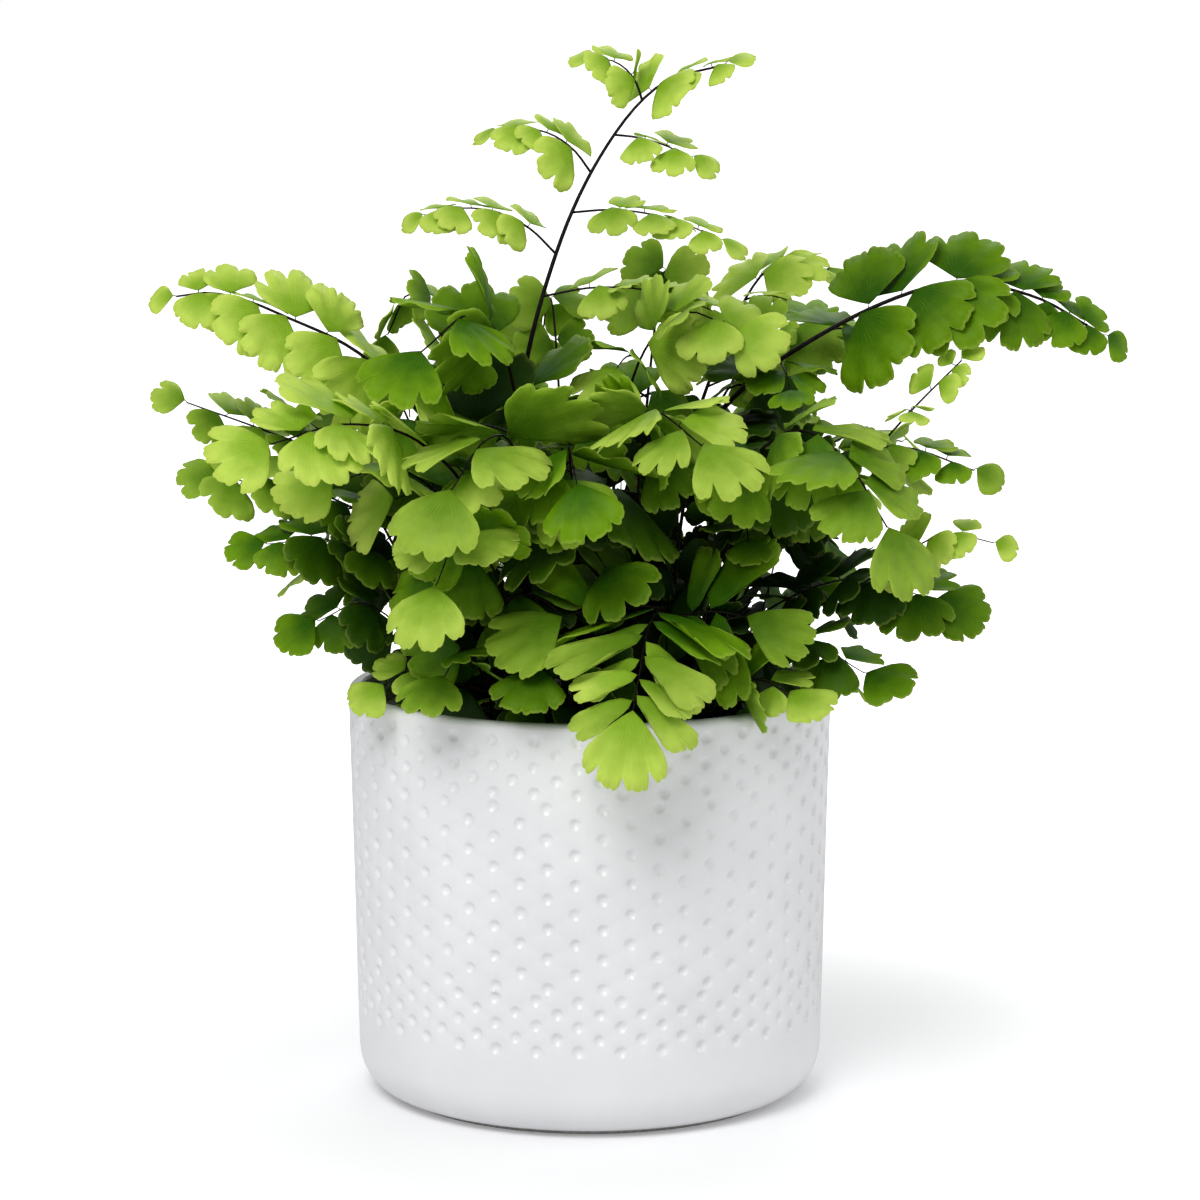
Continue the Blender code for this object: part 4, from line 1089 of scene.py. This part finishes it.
def glaze_look(nodes):
    """White satin glaze, a little pooled and uneven."""
    pool = nodes.noise(38.0, 3.0)
    speck = nodes.noise(1400.0, 2.0)
    colour = nodes.mix(nodes.ramp(pool, 0.3, 0.7), (0.80, 0.80, 0.815, 1), (0.84, 0.84, 0.85, 1))
    colour = nodes.mix(nodes.ramp(speck, 0.66, 0.8, 0.0, 0.16), colour, (0.62, 0.61, 0.60, 1))
    roughness = nodes.ramp(pool, 0.3, 0.7, 0.30, 0.40)
    relief = nodes.math("ADD", pool, nodes.math("MULTIPLY", speck, 0.05))
    bump = nodes.bump(relief, 0.0003, 0.35)
    nodes.surface(Base_Color=colour, Roughness=roughness, Normal=bump, Coat_Weight=0.25, Coat_Roughness=0.16)


def foot_look(nodes):
    """The bare fired foot."""
    grain = nodes.noise(900.0, 4.0)
    colour = nodes.mix(nodes.ramp(grain, 0.3, 0.7), (0.46, 0.45, 0.44, 1), (0.62, 0.61, 0.59, 1))
    nodes.surface(Base_Color=colour, Roughness=0.8, Normal=nodes.bump(grain, 0.0002, 0.6))


def soil_look(nodes, dark, light):
    """Moist potting mix: near black peat with browner fibres."""
    clod = nodes.noise(190.0, 5.0)
    fleck = nodes.noise(900.0, 3.0)
    colour = nodes.mix(nodes.ramp(clod, 0.35, 0.68), dark, light)
    colour = nodes.mix(nodes.ramp(fleck, 0.62, 0.74, 0.0, 0.5), colour, (0.11, 0.072, 0.042, 1))
    relief = nodes.math("ADD", clod, nodes.math("MULTIPLY", fleck, 0.4))
    nodes.surface(Base_Color=colour, Roughness=0.93, Normal=nodes.bump(relief, 0.0012, 0.9))


# ---- studio


def floor_look(nodes):
    """Pale grey that glows where it is seen, and more so farther out, so that it runs into the white room."""
    nodes.surface(Base_Color=(0.86, 0.86, 0.87, 1), Roughness=0.9, Specular_IOR_Level=0.1)
    away = nodes.add("VectorMath", {0: nodes.place}, 1, operation="LENGTH")
    glow = nodes.ramp(away, *FLOOR_FADE, *FLOOR_GLOW)
    seen = nodes.add("LightPath", output="Is Camera Ray")
    nodes.surface(Emission_Color=(1, 1, 1, 1), Emission_Strength=nodes.math("MULTIPLY", glow, seen))


def make_floor():
    """A level floor so wide that its far edge meets the white background."""
    mesh = bpy.data.meshes.new("studio_floor")
    corners = [(x * FLOOR_REACH, y * FLOOR_REACH, 0) for x, y in ((-1, -1), (1, -1), (1, 1), (-1, 1))]
    mesh.from_pydata(corners, [], [(0, 1, 2, 3)])
    mesh.materials.append(finish("studio_floor", floor_look))
    placed("studio_floor", mesh)


def area_light(name, place, target, size, power):
    lamp = bpy.data.lights.new(name, "AREA")
    lamp.shape = "DISK"
    lamp.size = size
    lamp.energy = power
    obj = placed(name, lamp)
    obj.location = place
    obj.rotation_euler = (Vector(target) - Vector(place)).to_track_quat("-Z", "Y").to_euler()


def make_world():
    """A white room: plain white where the camera sees it, and softer as a light."""
    world = bpy.data.worlds.new("studio")
    nodes = Nodes(world, "Background", "World Output")
    nodes.surface(Color=(1, 1, 1, 1), Strength=1.0)
    glow = nodes.add("Background", {"Color": (0.98, 0.99, 1, 1), "Strength": WORLD_LIGHT})
    seen = nodes.add("LightPath", output="Is Camera Ray")
    both = nodes.add("MixShader", {0: seen, 1: glow, 2: nodes.shader.outputs[0]})
    nodes.fill(nodes.output, {"Surface": both})
    bpy.context.scene.world = world


def make_camera():
    """A long lens from a little above the rim, looking slightly down."""
    lens = bpy.data.cameras.new("camera")
    lens.lens = CAMERA_LENS
    lens.sensor_width = 36.0
    lens.clip_end = 100.0
    camera = placed("camera", lens)
    camera.location = CAMERA_PLACE
    camera.rotation_euler = (radians(90 - CAMERA_PITCH), 0, 0)
    bpy.context.scene.camera = camera


def cad_shape(node):
    """(points, faces) of a solid of the frame, in millimetres."""
    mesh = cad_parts[node].data
    return [v.co / MM for v in mesh.vertices], [tuple(face.vertices) for face in mesh.polygons]


def main():
    make_camera()
    make_world()
    make_floor()
    for name, settings in LAMPS.items():
        area_light(name, *settings)
    finishes = {
        "leaf": finish("maidenhair_leaf", leaf_look),
        "stem": finish("maidenhair_stem", stem_look),
        "glaze": finish("pot_glaze", glaze_look),
        "foot": finish("pot_foot", foot_look),
        "soil": finish("potting_soil", soil_look, *SOIL_BROWNS),
        "bits": finish("bark_bits", soil_look, *BARK_BROWNS),
    }
    make_pot(finishes)
    make_soil(finishes)
    rows = FRONDS + clump_fronds()
    grown = grow(rows, undergrowth(), [cad_shape("pot"), cad_shape("soil")])
    for row in rows:
        make_frond(row.name, [grown.pop(row)], finishes, row.name)
    make_frond("undergrowth", list(grown.values()), finishes)


main()
bpy.context.scene.view_settings.view_transform = "Standard"
